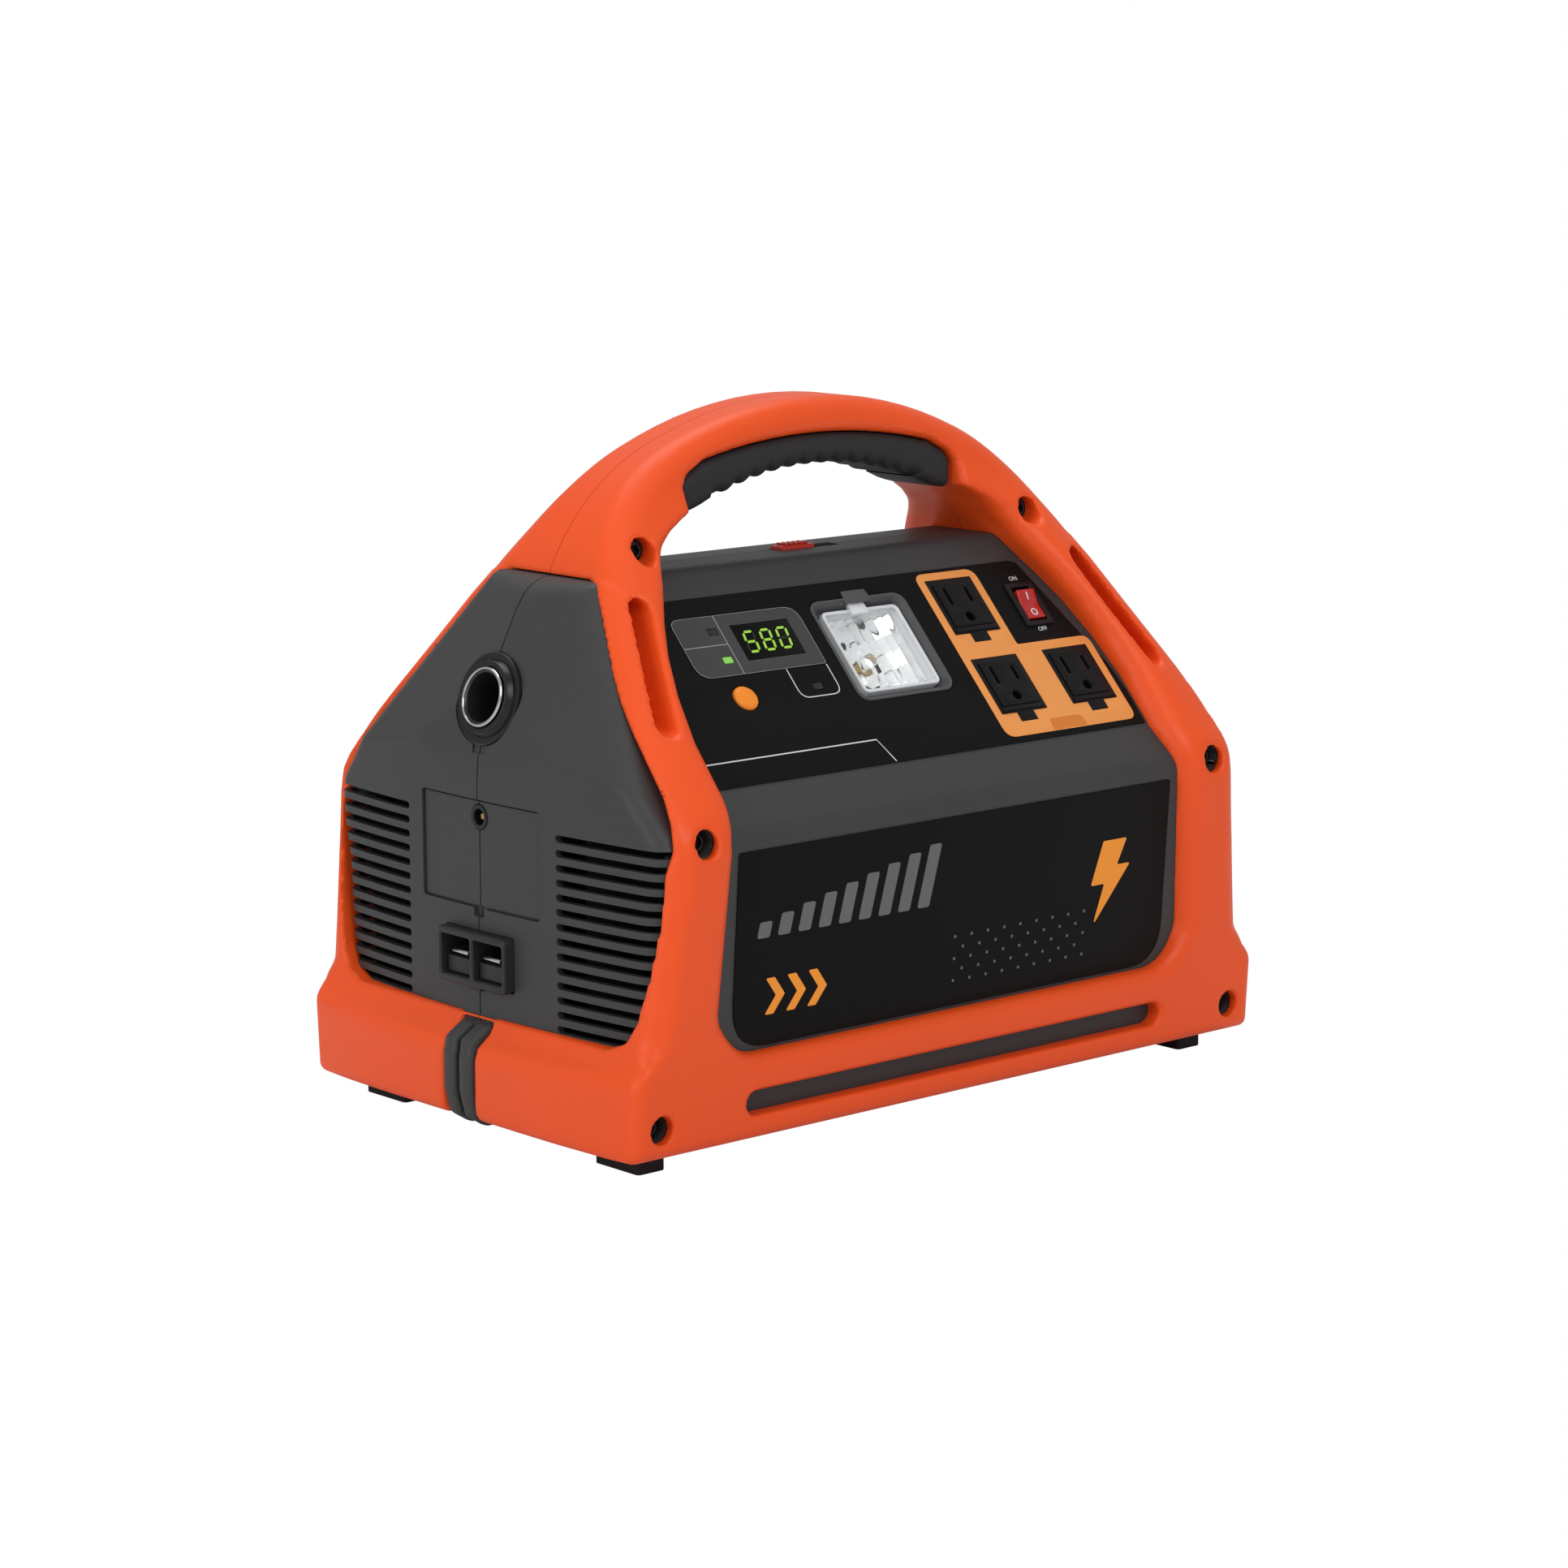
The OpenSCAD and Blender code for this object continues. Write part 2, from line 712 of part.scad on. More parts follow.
/* ---- Display ---- */
module display_bezel() {
    w = 71;
    h = 31.6;
    color([0.3, 0.3, 0.32])
        difference() {
            on_panel(display_u, display_s, skin + 0.04) rounded_plate(w, h, 1.2, 5);
            panel_cuts(fit);
        }
}

module display_window() {
    color([0.05, 0.08, 0.05])
        on_panel(window_u, display_s, -2.4)
            linear_extrude(4) square([window_w, window_h], center = true);
}

// Seven-segment digits of the lit number, on the front of the display block
module display_digits() {
    digits = [[1, 1, 1, 0, 1, 1, 0], [1, 1, 1, 1, 1, 1, 1], [0, 1, 0, 1, 1, 1, 1]];
    dh = 10.5;
    dw = 5.4;
    t = 1;
    color("yellowgreen")
        for (i = [0:2])
            on_panel(window_u + (i - 1) * 9, display_s, -3)
                linear_extrude(0.5) {
                    if (i != 2) {
                        for (k = [-1, 0, 1])
                            translate([0, k * dh / 2])
                                square([dw - 2 * t, t], center = true);
                    } else {
                        for (k = [-1, 1])
                            translate([0, k * dh / 2])
                                square([dw - 2 * t, t], center = true);
                    }
                    translate([-dw / 2, dh / 4]) square([t, dh / 2 - t], center = true);
                    translate([dw / 2, -dh / 4]) square([t, dh / 2 - t], center = true);
                    if (i != 0) {
                        translate([dw / 2, dh / 4]) square([t, dh / 2 - t], center = true);
                        translate([-dw / 2, -dh / 4]) square([t, dh / 2 - t], center = true);
                    }
                }
}

module status_leds() {
    color("yellowgreen")
        for (p = led_places())
            on_panel(p[0], p[1], -3.2)
                linear_extrude(5) square([5, 3.2], center = true);
}

board_w = -8.4;                               // depth of the display board
module display_board() {
    color("darkgreen") {
        on_panel(-66.5, 53, board_w)
            linear_extrude(1.6) square([62, 52], center = true);
        on_panel(window_u, display_s, board_w + 1.6)
            linear_extrude(-board_w - 1.6 - 3) square([window_w - 3, window_h - 3], center = true);
        for (p = led_places())
            on_panel(p[0], p[1], board_w + 1.6)
                linear_extrude(-board_w - 1.6 - 3.2) square([3, 2], center = true);
        for (x = [-94, -39])
            for (y = [31, 76])
                on_panel(x, y, board_w + 1.6)
                    cylinder(h = -board_w - 1.6 - wall, d = 4);
    }
}

module display_button() {
    color("orange")
        on_panel(button_u, button_s)
            union() {
                translate([0, 0, -3.4]) cylinder(h = 5.4, d = button_d - 0.4);
                translate([0, 0, -3.4 - 0.8]) cylinder(h = 0.8, d = 3.2);
            }
}

// Dome switch on the board under the display button
module tact_switch() {
    top = -3.4 - 0.8 - button_travel - 0.1;
    color([0.2, 0.2, 0.22])
        on_panel(button_u, button_s, board_w + 1.6)
            linear_extrude(top - board_w - 1.6) square([6, 6], center = true);
}

/* ---- Power switch ---- */
rocker_tilt = rocker_swing / 2;
rocker_axis_w = -2;
pivot_d = 2.4;                                // pins that the rocker tips on
module rocker_housing() {
    color(black)
        on_panel(rocker_u, rocker_s)
            difference() {
                union() {
                    translate([0, 0, -16])
                        linear_extrude(16 + skin + 0.2)
                            square([rocker_w + 3.6, rocker_l + 3.6], center = true);
                    translate([0, 0, skin + 0.04])
                        linear_extrude(1)
                            square([rocker_w + 6, rocker_l + 5], center = true);
                }
                translate([0, 0, -10])
                    linear_extrude(30)
                        square([rocker_w + 0.6, rocker_l + 0.6], center = true);
                translate([0, 0, rocker_axis_w])
                    rotate([0, 90, 0])
                        cylinder(h = rocker_w + 2.6, d = pivot_d + 0.3, center = true);
            }
}

// Rocker with its two faces and the pins that it tips on
module power_rocker() {
    r = rocker_l / 2 / cos(rocker_tilt);
    color("red")
        on_panel(rocker_u, rocker_s, rocker_axis_w)
            union() {
                rotate([rocker_tilt, 0, 0])
                    rotate([90, 0, 90])
                        translate([0, 0, -rocker_w / 2])
                            linear_extrude(rocker_w)
                                polygon([[-r + 1.6, 4.8], [0, 3.6], [r - 1.6, 4.8],
                                         [r - 2.2, -1], [2, -4.6], [-2, -4.6], [-r + 2.2, -1]]);
                rotate([0, 90, 0]) cylinder(h = rocker_w + 2, d = pivot_d, center = true);
            }
}

/* ---- Emergency lamp ---- */
lamp_depth = 20;
module lamp_housing() {
    color([0.35, 0.35, 0.36])
        on_panel(lamp_u, lamp_s)
            difference() {
                translate([0, 0, -lamp_depth - 3])
                    rounded_plate(recess_w, recess_h, lamp_depth + 3 + skin + 0.5, 6);
                translate([0, 0, -5])
                    rounded_plate(recess_w - 3, recess_h - 3, 30, 5);
                translate([lens_u - lamp_u, lamp_s - lens_s, -lamp_depth])
                    rounded_plate(lens_w + 2 * fit, lens_h + 2 * fit, 30, 3);
                translate([0, 0, -lamp_depth - 4]) cylinder(h = 8, d = 9.6);
            }
}

module lamp_reflector() {
    color(metal)
        on_panel(lens_u, lens_s, -lamp_depth + 0.02)
            difference() {
                rounded_plate(lens_w - 4, lens_h - 4, 10.8, 2);
                translate([0, 0, 26]) sphere(r = 25, $fn = 96);
                translate([lamp_u - lens_u, lens_s - lamp_s, -2]) cylinder(h = 20, d = 9.6);
            }
}

module lamp_bulb() {
    color([0.9, 0.9, 0.85])
        on_panel(lamp_u, lamp_s, -lamp_depth - 3) {
            cylinder(h = 9, d = 9);
            translate([0, 0, 8]) cylinder(h = 3, d = 6);
            translate([0, 0, 11.2]) sphere(d = 7);
        }
}

module lamp_lens() {
    color([0.9, 0.95, 1, 0.4])
        on_panel(lens_u, lens_s, -lamp_depth + 11) {
            difference() {
                rounded_plate(lens_w, lens_h, 7, 3);
                translate([0, 0, -1]) rounded_plate(lens_w - 4, lens_h - 4, 6, 2);
            }
            translate([-1, lens_h / 2 - 0.01, 4.4])
                linear_extrude(2) square([8, 5], center = true);
        }
}

/* ---- Lamp slider on the top ---- */
module lamp_slider() {
    color("red")
        translate([-slider_travel / 2 + 8, 0, body_top - wall - 1.6])
            union() {
                translate([-slider_l / 2, -4, 0]) cube([slider_l, 8, wall + 4.4]);
                translate([-2, -1.5, -3]) cube([4, 3, 3.2]);
            }
}

module slider_switch() {
    color([0.2, 0.2, 0.22])
        translate([8, 0, body_top - wall - 12])
            difference() {
                translate([-24, -8.4, 0]) cube([48, 16.8, 10]);
                translate([-slot_l / 2 + 6, -2.4, 4]) cube([slot_l - 12, 4.8, 20]);
            }
}

/* ---- 12 V socket ---- */
module socket_bezel() {
    color(black)
        at_socket(-2.4)
            difference() {
                union() {
                    cylinder(h = 2, d = socket_d + 19.5);
                    translate([0, 0, -6]) cylinder(h = 8, d = socket_d + 9);
                    cylinder(h = 4.4, d = socket_d + 11);
                }
                translate([0, 0, -20]) cylinder(h = 40, d = socket_d + 3 + 0.2);
            }
}

module socket_shell() {
    color(metal)
        at_socket()
            difference() {
                union() {
                    translate([0, 0, -socket_depth - 2])
                        cylinder(h = socket_depth + 4.4, d = socket_d + 3);
                    translate([0, 0, 2.2]) cylinder(h = 1, d = socket_d + 5.2);
                }
                translate([0, 0, -socket_depth]) cylinder(h = socket_depth + 20, d = socket_d);
                translate([0, 0, -socket_depth - 10]) cylinder(h = 20, d = 8);
            }
}

module socket_contact() {
    color("goldenrod")
        at_socket(-socket_depth - 9.4)
            union() {
                cylinder(h = 9, d = 5);
                cylinder(h = 3.8, d = 16);
            }
}

/* ---- Charging jack ---- */
jack_x = -body_half - 0.2;
module charging_jack() {
    color(black)
        translate([jack_x, 0, jack_z])
            rotate([0, 90, 0])
                difference() {
                    union() {
                        translate([0, 0, 0.6]) cylinder(h = 15, d = 11);
                        translate([0, 0, wall + 0.6]) cylinder(h = 4, d = 15);
                    }
                    translate([0, 0, -1]) cylinder(h = 13, d = 7);
                }
}

module charging_pin() {
    color(metal)
        translate([jack_x, 0, jack_z])
            rotate([0, 90, 0])
                translate([0, 0, 3]) cylinder(h = 9, d = 2.5);
}

/* ---- Jumper lead connector ---- */
collar = 5;                                   // how far the housing stands proud
housing_x = -body_half - collar;
bay_w = (connector_w - 7) / 2;
module bays(x, depth, g = 0) {
    for (y = [-1, 1])
        translate([x, y * (bay_w / 2 + 1.2) - bay_w / 2 - g, connector_z - 8.6 - g])
            cube([depth, bay_w + 2 * g, 17.2 + 2 * g]);
}

module connector_housing() {
    color(black)
        difference() {
            union() {
                translate([housing_x, -connector_w / 2, connector_z - connector_h / 2])
                    cube([34, connector_w, connector_h]);
                translate([-body_half + wall + 1.4, -connector_w / 2 - 3, connector_z - 15])
                    cube([4, connector_w + 6, 30]);
            }
            bays(housing_x - 1, 26);
            contact_strips(0.1);
        }
}

// Flat strips that run through the back of the housing, grown by g
module contact_strips(g = 0) {
    for (y = [-1, 1])
        translate([housing_x + 7 - g, y * (bay_w / 2 + 1.2) - 6 - g, connector_z - 1 - g])
            cube([40 + 2 * g, 12 + 2 * g, 3 + 2 * g]);
}

// Sprung silver contacts, one in each bay
module connector_contacts() {
    color(metal)
        union() {
            contact_strips();
            for (y = [-1, 1])
                translate([housing_x + 3, y * (bay_w / 2 + 1.2) - 5, connector_z + 0.6])
                    cube([5, 10, 1.4]);
        }
}

/* ---- Battery ---- */
battery_x0 = -50;
module battery() {
    color([0.2, 0.22, 0.26])
        union() {
            translate([battery_x0, -battery_w / 2, battery_z0])
                cube([battery_l, battery_w, battery_h - 6]);
            translate([battery_x0 + 3, -battery_w / 2 + 3, battery_z0 + battery_h - 6.01])
                cube([battery_l - 6, battery_w - 6, 6.01]);
        }
}

terminal_y = battery_w / 2 - 26;
terminal_z = battery_z0 + battery_h - 22;
module battery_terminals() {
    color("lightgray")
        for (y = [-1, 1])
            translate([battery_x0 - 5, y * terminal_y - 7, terminal_z])
                difference() {
                    cube([5, 14, 14]);
                    translate([-1, 7, 7]) rotate([0, 90, 0]) cylinder(h = 8, d = 5.4);
                }
}

module battery_pads() {
    color([0.15, 0.15, 0.15])
        for (x = [12, battery_l - 42])
            translate([battery_x0 + x, -battery_w / 2 + 10, body_bottom + wall + 0.02])
                cube([30, battery_w - 20, 3.36]);
}

strap_t = 1.6;
module battery_strap() {
    lift = battery_z0 + battery_h;
    color(metal)
        translate([battery_x0 + battery_l / 2 - 12, 0, 0])
            union() {
                translate([0, -battery_w / 2 - strap_t - 0.1, lift + 0.02])
                    cube([24, battery_w + 2 * strap_t + 0.2, strap_t]);
                for (y = [-battery_w / 2 - strap_t - 0.1, battery_w / 2 + 0.1])
                    translate([0, y, body_bottom + wall + 0.02])
                        cube([24, strap_t, lift - body_bottom - wall + 0.01]);
            }
}

// Heavy lead from a connector contact up to the height of the terminals, bent to a radius
lead_d = 7;
lead_bend = 9;
lead_x = housing_x + 61;
lead_y = bay_w / 2 + 1.2;
lead_z = connector_z + 0.5;
lead_top = terminal_z + 7;
fuse_x = -90;
module run(p, turn, l) {
    translate(p) rotate(turn) cylinder(h = l, d = lead_d, $fn = 32);
}

module elbow(p, turn, start) {
    translate(p)
        rotate(turn)
            rotate([0, 0, start])
                rotate_extrude(angle = 90, $fn = 48)
                    translate([lead_bend, 0]) circle(d = lead_d, $fn = 32);
}

module lead(end_x) {
    contact_end = housing_x + 47;
    union() {
        run([contact_end, lead_y, lead_z], [0, 90, 0], lead_x - lead_bend - contact_end);
        elbow([lead_x - lead_bend, lead_y + lead_bend, lead_z], [0, 0, 0], -90);
        run([lead_x, lead_y + lead_bend, lead_z], [-90, 0, 0], terminal_y - lead_y - 2 * lead_bend);
        elbow([lead_x, terminal_y - lead_bend, lead_z + lead_bend], [90, 0, 90], -90);
        run([lead_x, terminal_y, lead_z + lead_bend], [0, 0, 0], lead_top - lead_z - 2 * lead_bend);
        elbow([lead_x + lead_bend, terminal_y, lead_top - lead_bend], [90, 0, 0], 90);
        run([lead_x + lead_bend, terminal_y, lead_top], [0, 90, 0], end_x - lead_x - lead_bend);
    }
}

module positive_lead() {
    color("firebrick") lead(fuse_x - 22.2);
}

module fuse_lead() {
    color("firebrick")
        run([fuse_x + 22.2, terminal_y, lead_top], [0, 90, 0], battery_x0 - 5.2 - fuse_x - 22.2);
}

module negative_lead() {
    color([0.12, 0.12, 0.12]) mirror([0, 1, 0]) lead(battery_x0 - 5.2);
}

module main_fuse() {
    color("gold")
        translate([fuse_x, terminal_y, lead_top])
            union() {
                translate([-12, -9, -8]) cube([24, 18, 16]);
                for (x = [-1, 1])
                    translate([x * 17, 0, 0]) cube([10.2, 14, 5], center = true);
            }
}

/* ---- Inverter ---- */
board_z = battery_z0 + battery_h + 7;
board_y0 = -34;
module inverter_board() {
    color("darkgreen")
        union() {
            translate([-110, board_y0, board_z]) cube([232, 122, 1.6]);
            for (x = [battery_x0 + 16, battery_x0 + battery_l - 16])
                for (y = [board_y0 + 10, 76])
                    translate([x, y, battery_z0 + battery_h + 0.02])
                        cylinder(h = board_z - battery_z0 - battery_h, d = 7);
        }
}

module transformers() {
    color([0.75, 0.6, 0.35])
        for (x = [-40, 14])
            translate([x, 22, board_z + 1.62])
                union() {
                    translate([-17, -20, 0]) cube([34, 40, 24]);
                    translate([-22, -13, 2]) cube([44, 26, 20]);
                }
}

module heat_sinks() {
    color("silver")
        for (x = [-92, 74])
            translate([x, 4, board_z + 1.62])
                union() {
                    cube([30, 70, 3]);
                    for (i = [0:5])
                        translate([i * 5.6, 0, 2.9]) cube([2, 70, 20]);
                }
}

module capacitors() {
    color([0.15, 0.2, 0.35])
        for (x = [44, 60])
            for (y = [-22, 0, 22])
                translate([x, y, board_z + 1.62]) cylinder(h = 26, d = 13);
}

/* ---- Cooling fan ---- */
fan_t = 20;
fan_z = body_bottom + wall + fan_w / 2 + 46;
fan_x = min(base_w / 2 - 45, body_half - wall - fan_t - 8);
fan_y = face_y(fan_z) - wall - fan_w / 2 - 5.3;
module fan_housing() {
    color([0.12, 0.12, 0.12])
        translate([fan_x, fan_y, fan_z])
            rotate([0, 90, 0])
                union() {
                    difference() {
                        linear_extrude(fan_t) square([fan_w, fan_w], center = true);
                        translate([0, 0, -1]) cylinder(h = fan_t + 2, d = fan_w - 4);
                        for (x = [-1, 1])
                            for (y = [-1, 1])
                                translate([x * (fan_w / 2 - 5), y * (fan_w / 2 - 5), -1])
                                    cylinder(h = fan_t + 2, d = 4.3);
                    }
                    for (a = [45, 135])
                        rotate([0, 0, a])
                            translate([-fan_w / 2 + 1, -1.5, 0]) cube([fan_w - 2, 3, 2]);
                    cylinder(h = 2, d = 24);
                    cylinder(h = 7, d = 4);
                    translate([fan_w / 2 - 0.02, -22, 0])
                        cube([fan_z - fan_w / 2 - body_bottom - wall, 44, 4]);
                }
}

module fan_rotor() {
    color([0.16, 0.16, 0.16])
        translate([fan_x, fan_y, fan_z])
            rotate([0, 90, 0])
                difference() {
                    union() {
                        translate([0, 0, 2.6]) cylinder(h = fan_t - 4, d = 25);
                        for (i = [0:6])
                            rotate([0, 0, i * 360 / 7])
                                translate([10, 0, 10.4])
                                    rotate([38, 0, 0])
                                        translate([0, -8, -0.7]) cube([fan_w / 2 - 14, 16, 1.4]);
                    }
                    translate([0, 0, 2]) cylinder(h = 5.5, d = 4.1);
                }
}

frame_front();
frame_rear();
handle_grip();
body_front();
body_rear();
frame_screws_front();
frame_screws_rear();
feet();
panel_label();
face_label();
outlet_surround();
outlet_top();
outlet_left();
outlet_right();
outlet_contacts();
display_bezel();
display_window();
display_digits();
status_leds();
display_board();
display_button();
tact_switch();
rocker_housing();
power_rocker();
lamp_housing();
lamp_reflector();
lamp_bulb();
lamp_lens();
lamp_slider();
slider_switch();
socket_bezel();
socket_shell();
socket_contact();
charging_jack();
charging_pin();
connector_housing();
connector_contacts();
battery();
battery_terminals();
battery_pads();
battery_strap();
positive_lead();
fuse_lead();
negative_lead();
main_fuse();
inverter_board();
transformers();
heat_sinks();
capacitors();
fan_housing();
fan_rotor();
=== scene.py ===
import math
from contextlib import contextmanager

import bmesh
import bpy
import numpy as np
from mathutils import Matrix, Vector


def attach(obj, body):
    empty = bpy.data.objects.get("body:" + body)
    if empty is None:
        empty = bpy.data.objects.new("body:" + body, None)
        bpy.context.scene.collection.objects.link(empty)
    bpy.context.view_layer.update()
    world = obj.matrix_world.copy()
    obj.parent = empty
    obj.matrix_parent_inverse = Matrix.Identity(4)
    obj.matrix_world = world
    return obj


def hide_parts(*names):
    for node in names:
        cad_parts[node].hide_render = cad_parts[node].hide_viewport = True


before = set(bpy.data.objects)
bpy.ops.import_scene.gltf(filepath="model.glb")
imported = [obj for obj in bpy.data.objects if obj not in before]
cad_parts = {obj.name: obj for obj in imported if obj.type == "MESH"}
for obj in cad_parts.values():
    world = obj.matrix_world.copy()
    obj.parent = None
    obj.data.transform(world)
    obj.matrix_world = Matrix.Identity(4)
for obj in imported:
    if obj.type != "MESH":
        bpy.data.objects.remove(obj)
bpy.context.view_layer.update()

# --------------------
# Frame halves. Two moulded orange shells that meet at the middle plane and are
# bumper, legs and carry handle in one. Glass-filled nylon with a fine grain,
# held to the body by six screws from each side.
# The field below is a signed distance in millimetres, meshed on a grid.
GRID = 1.5
LEAN = math.hypot(1, 0.0695)
STEEP = math.tan(math.radians(38.2))
HIGH = math.cos(math.radians(38.2))


def leg_outer(z):
    low = 177 - 10.5 * (z - 55.5) / 110.5
    return np.where(z < 166, low, 166.5 - 0.3624 * (z - 166))


def leg_inner(z):
    return leg_outer(z) - 29 - np.maximum(0, z - 150) * 0.07


def frame_low(z):
    return 113.5 + 0.0695 * (z - 22.7)


def frame_high(z):
    return 122 - (z - 145) * STEEP


def arc(cx, cz, r, a0, a1, n):
    turn = [math.radians(a0 + (a1 - a0) * i / n) for i in range(n + 1)]
    return [(cx + r * math.cos(a), cz + r * math.sin(a)) for a in turn]


def mirrored(points):
    return list(points) + [(-x, z) for x, z in reversed(points)]


def outline_distance(u, v, points):
    """Signed distance on the grid u by v to a closed outline, negative inside."""
    U, V = np.meshgrid(u, v, indexing="ij")
    best = np.full(U.shape, 1e9)
    inside = np.zeros(U.shape, bool)
    for (ax, ay), (bx, by) in zip(points, points[1:] + points[:1]):
        dx, dy = bx - ax, by - ay
        t = np.clip(((U - ax) * dx + (V - ay) * dy) / (dx * dx + dy * dy + 1e-9), 0, 1)
        best = np.minimum(best, (U - ax - t * dx) ** 2 + (V - ay - t * dy) ** 2)
        if ay != by:
            inside ^= ((ay > V) != (by > V)) & (U < dx * (V - ay) / dy + ax)
    return (np.where(inside, -1, 1) * np.sqrt(best)).astype(np.float32)


def both(a, b, r, turn=0.0):
    """Intersection with its edge rounded to radius r; turn is the cosine between the two faces' normals."""
    p, q = a + r, b + r
    rounding = np.sqrt(np.maximum(p * p + q * q - 2 * turn * p * q, 0) / (1 - turn * turn)) - r
    return np.where((p > turn * q) & (q > turn * p), rounding, np.maximum(a, b))


def either(a, b, r, turn=0.0):
    """Union with a fillet of radius r."""
    return -both(-a, -b, r, turn)


def blend_of(x, lo, hi):
    t = np.clip((x - lo) / (hi - lo), 0, 1)
    return t * t * (3 - 2 * t)


def skin_of(field, lo, step):
    """Vertices and quads of the surface where the field is zero."""
    inside = field < 0
    n = [k - 1 for k in field.shape]
    count = np.zeros(n, np.int8)
    corners = [(i, j, k) for i in (0, 1) for j in (0, 1) for k in (0, 1)]
    for i, j, k in corners:
        count += inside[i : n[0] + i, j : n[1] + j, k : n[2] + k]
    cells = np.argwhere((count > 0) & (count < 8))
    index = np.full(n, -1, np.int64)
    index[tuple(cells.T)] = np.arange(len(cells))
    total = np.zeros((len(cells), 3))
    number = np.zeros(len(cells))
    for a in corners:
        for axis in range(3):
            if a[axis]:
                continue
            b = list(a)
            b[axis] = 1
            fa = field[tuple((cells + a).T)]
            fb = field[tuple((cells + b).T)]
            cut = (fa < 0) != (fb < 0)
            t = fa[cut] / (fa[cut] - fb[cut])
            total[cut] += np.array(a) + t[:, None] * (np.array(b) - a)
            number[cut] += 1
    verts = np.array(lo) + (cells + total / number[:, None]) * step
    quads = []
    for axis in range(3):
        u, v = (axis + 1) % 3, (axis + 2) % 3
        low = [slice(None)] * 3
        high = [slice(None)] * 3
        low[axis], high[axis] = slice(0, -1), slice(1, None)
        a, b = inside[tuple(low)], inside[tuple(high)]
        edge = np.argwhere(a != b)
        edge = edge[(edge[:, u] > 0) & (edge[:, v] > 0) & (edge[:, u] < n[u]) & (edge[:, v] < n[v])]
        out = a[tuple(edge.T)]
        ring = []
        for du, dv in ((1, 1), (0, 1), (0, 0), (1, 0)):
            cell = edge.copy()
            cell[:, u] -= du
            cell[:, v] -= dv
            ring.append(index[tuple(cell.T)])
        quad = np.stack(ring, 1)
        quad[~out] = quad[~out][:, ::-1]
        quads.append(quad)
    return verts, np.concatenate(quads)


def linked(name, data):
    """An object in the scene for a mesh, curve, light or camera."""
    item = bpy.data.objects.new(name, data)
    bpy.context.scene.collection.objects.link(item)
    return item


def smooth(mesh):
    mesh.polygons.foreach_set("use_smooth", [True] * len(mesh.polygons))


@contextmanager
def opened(mesh):
    """The mesh as geometry to edit, written back at the end."""
    shape = bmesh.new()
    shape.from_mesh(mesh)
    yield shape
    shape.to_mesh(mesh)
    shape.free()


def shown(name, mesh, nodes=(), body="pack"):
    """A visible piece that rides a body and stands for its CAD nodes."""
    piece = linked(name, mesh)
    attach(piece, body)
    if nodes:
        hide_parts(*nodes)
    return piece


def field_piece(name, field, corner, step, node):
    """A piece from the surface where a field in millimetres is zero."""
    verts, quads = skin_of(field.astype(np.float32), corner, step)
    mesh = bpy.data.meshes.new(name)
    mesh.vertices.add(len(verts))
    mesh.vertices.foreach_set("co", (verts * 0.001).astype(np.float32).ravel())
    mesh.loops.add(quads.size)
    mesh.loops.foreach_set("vertex_index", quads.astype(np.int32).ravel())
    mesh.polygons.add(len(quads))
    mesh.polygons.foreach_set("loop_start", np.arange(0, quads.size, 4, dtype=np.int32))
    mesh.update(calc_edges=True)
    mesh.validate()
    smooth(mesh)
    return shown(name, mesh, [node])


def apply_modifier(piece, kind, **values):
    modifier = piece.modifiers.new(kind.lower(), kind)
    for key, value in values.items():
        setattr(modifier, key, value)
    bpy.context.view_layer.objects.active = piece
    piece.select_set(True)
    bpy.ops.object.modifier_apply(modifier=modifier.name)
    piece.select_set(False)


def thin_out(piece, faces):
    """Fewer faces on the flat stretches, the curved edges kept."""
    count = sum(len(p.vertices) - 2 for p in piece.data.polygons)
    if count > faces:
        apply_modifier(piece, "DECIMATE", ratio=faces / count, use_collapse_triangulate=True)


TOP = 240.5  # height of the body's top
SEAT = 12  # depth of the screw heads' seats
SCREWS = [(115.0, 251.5, 38.2), (152.0, 141.4, 121.75), (171.5, 22.7, 113.5)]
lo, hi = (-197.0, -126.0, 3.0), (197.0, 4.0, 315.0)
gx, gy, gz = (np.arange(a, b, GRID, dtype=np.float32) for a, b in zip(lo, hi))
Y, Z = gy[None, :, None], gz[None, None, :]
AX, AY = np.abs(gx)[:, None, None], np.abs(Y)

crown_end = 65.8
outer_points = mirrored(
    [(187, 9.5), (191.5, 12), (193, 17), (193, 37), (190.5, 42.5), (184, 47.5), (181.5, 51)]
    + [(180.8, 54.5), (178.6, 60), (176, 80), (171.2, 120)]
    + [(169.3, 138), (169.6, 150), (170.5, 160), (167.6, 171), (160.1, 190)]
    + [(152.4, 210), (145, 230), (139.5, 241)]
    + arc(46.73, 198.98, 101, 25, crown_end, 12)
    + arc(0, 95, 215, crown_end, 90, 8)
)
inner_edge = [(133.5, 140), (130, 156), (130.8, 178), (128.2, 195), (123.5, 210), (117.5, 222), (109, 236)]


def edge_of(z):
    return np.interp(z, [p[1] for p in inner_edge], [p[0] for p in inner_edge])


window_points = mirrored(
    arc(117.9, 67, 20, 270, 360, 6)
    + inner_edge
    + [(104.5, 245), (100.3, 250.7), (93.7, 257.5), (87, 262), (81.4, 265), (81.6, 276)]
    + arc(71.8, 273.5, 9.5, 20, 75, 4)
    + arc(0, -6, 300, 76.9, 90, 8)
)
outer = outline_distance(gx, gz, outer_points)[:, None, :]
window = outline_distance(gx, gz, window_points)[:, None, :]
bow = np.hypot(AX + 807, Y) - 1000
side = (0.9 * (AX - 154.2) + (AY - 78.7) + 1.1131 * (Z - 200)) / 1.746
low_face = (-Y - frame_low(Z)) / LEAN
high_face = (-Y - frame_high(Z)) * HIGH
front = both(low_face, either(high_face, -Y - 21, 70, 0.786), 45, 0.827)

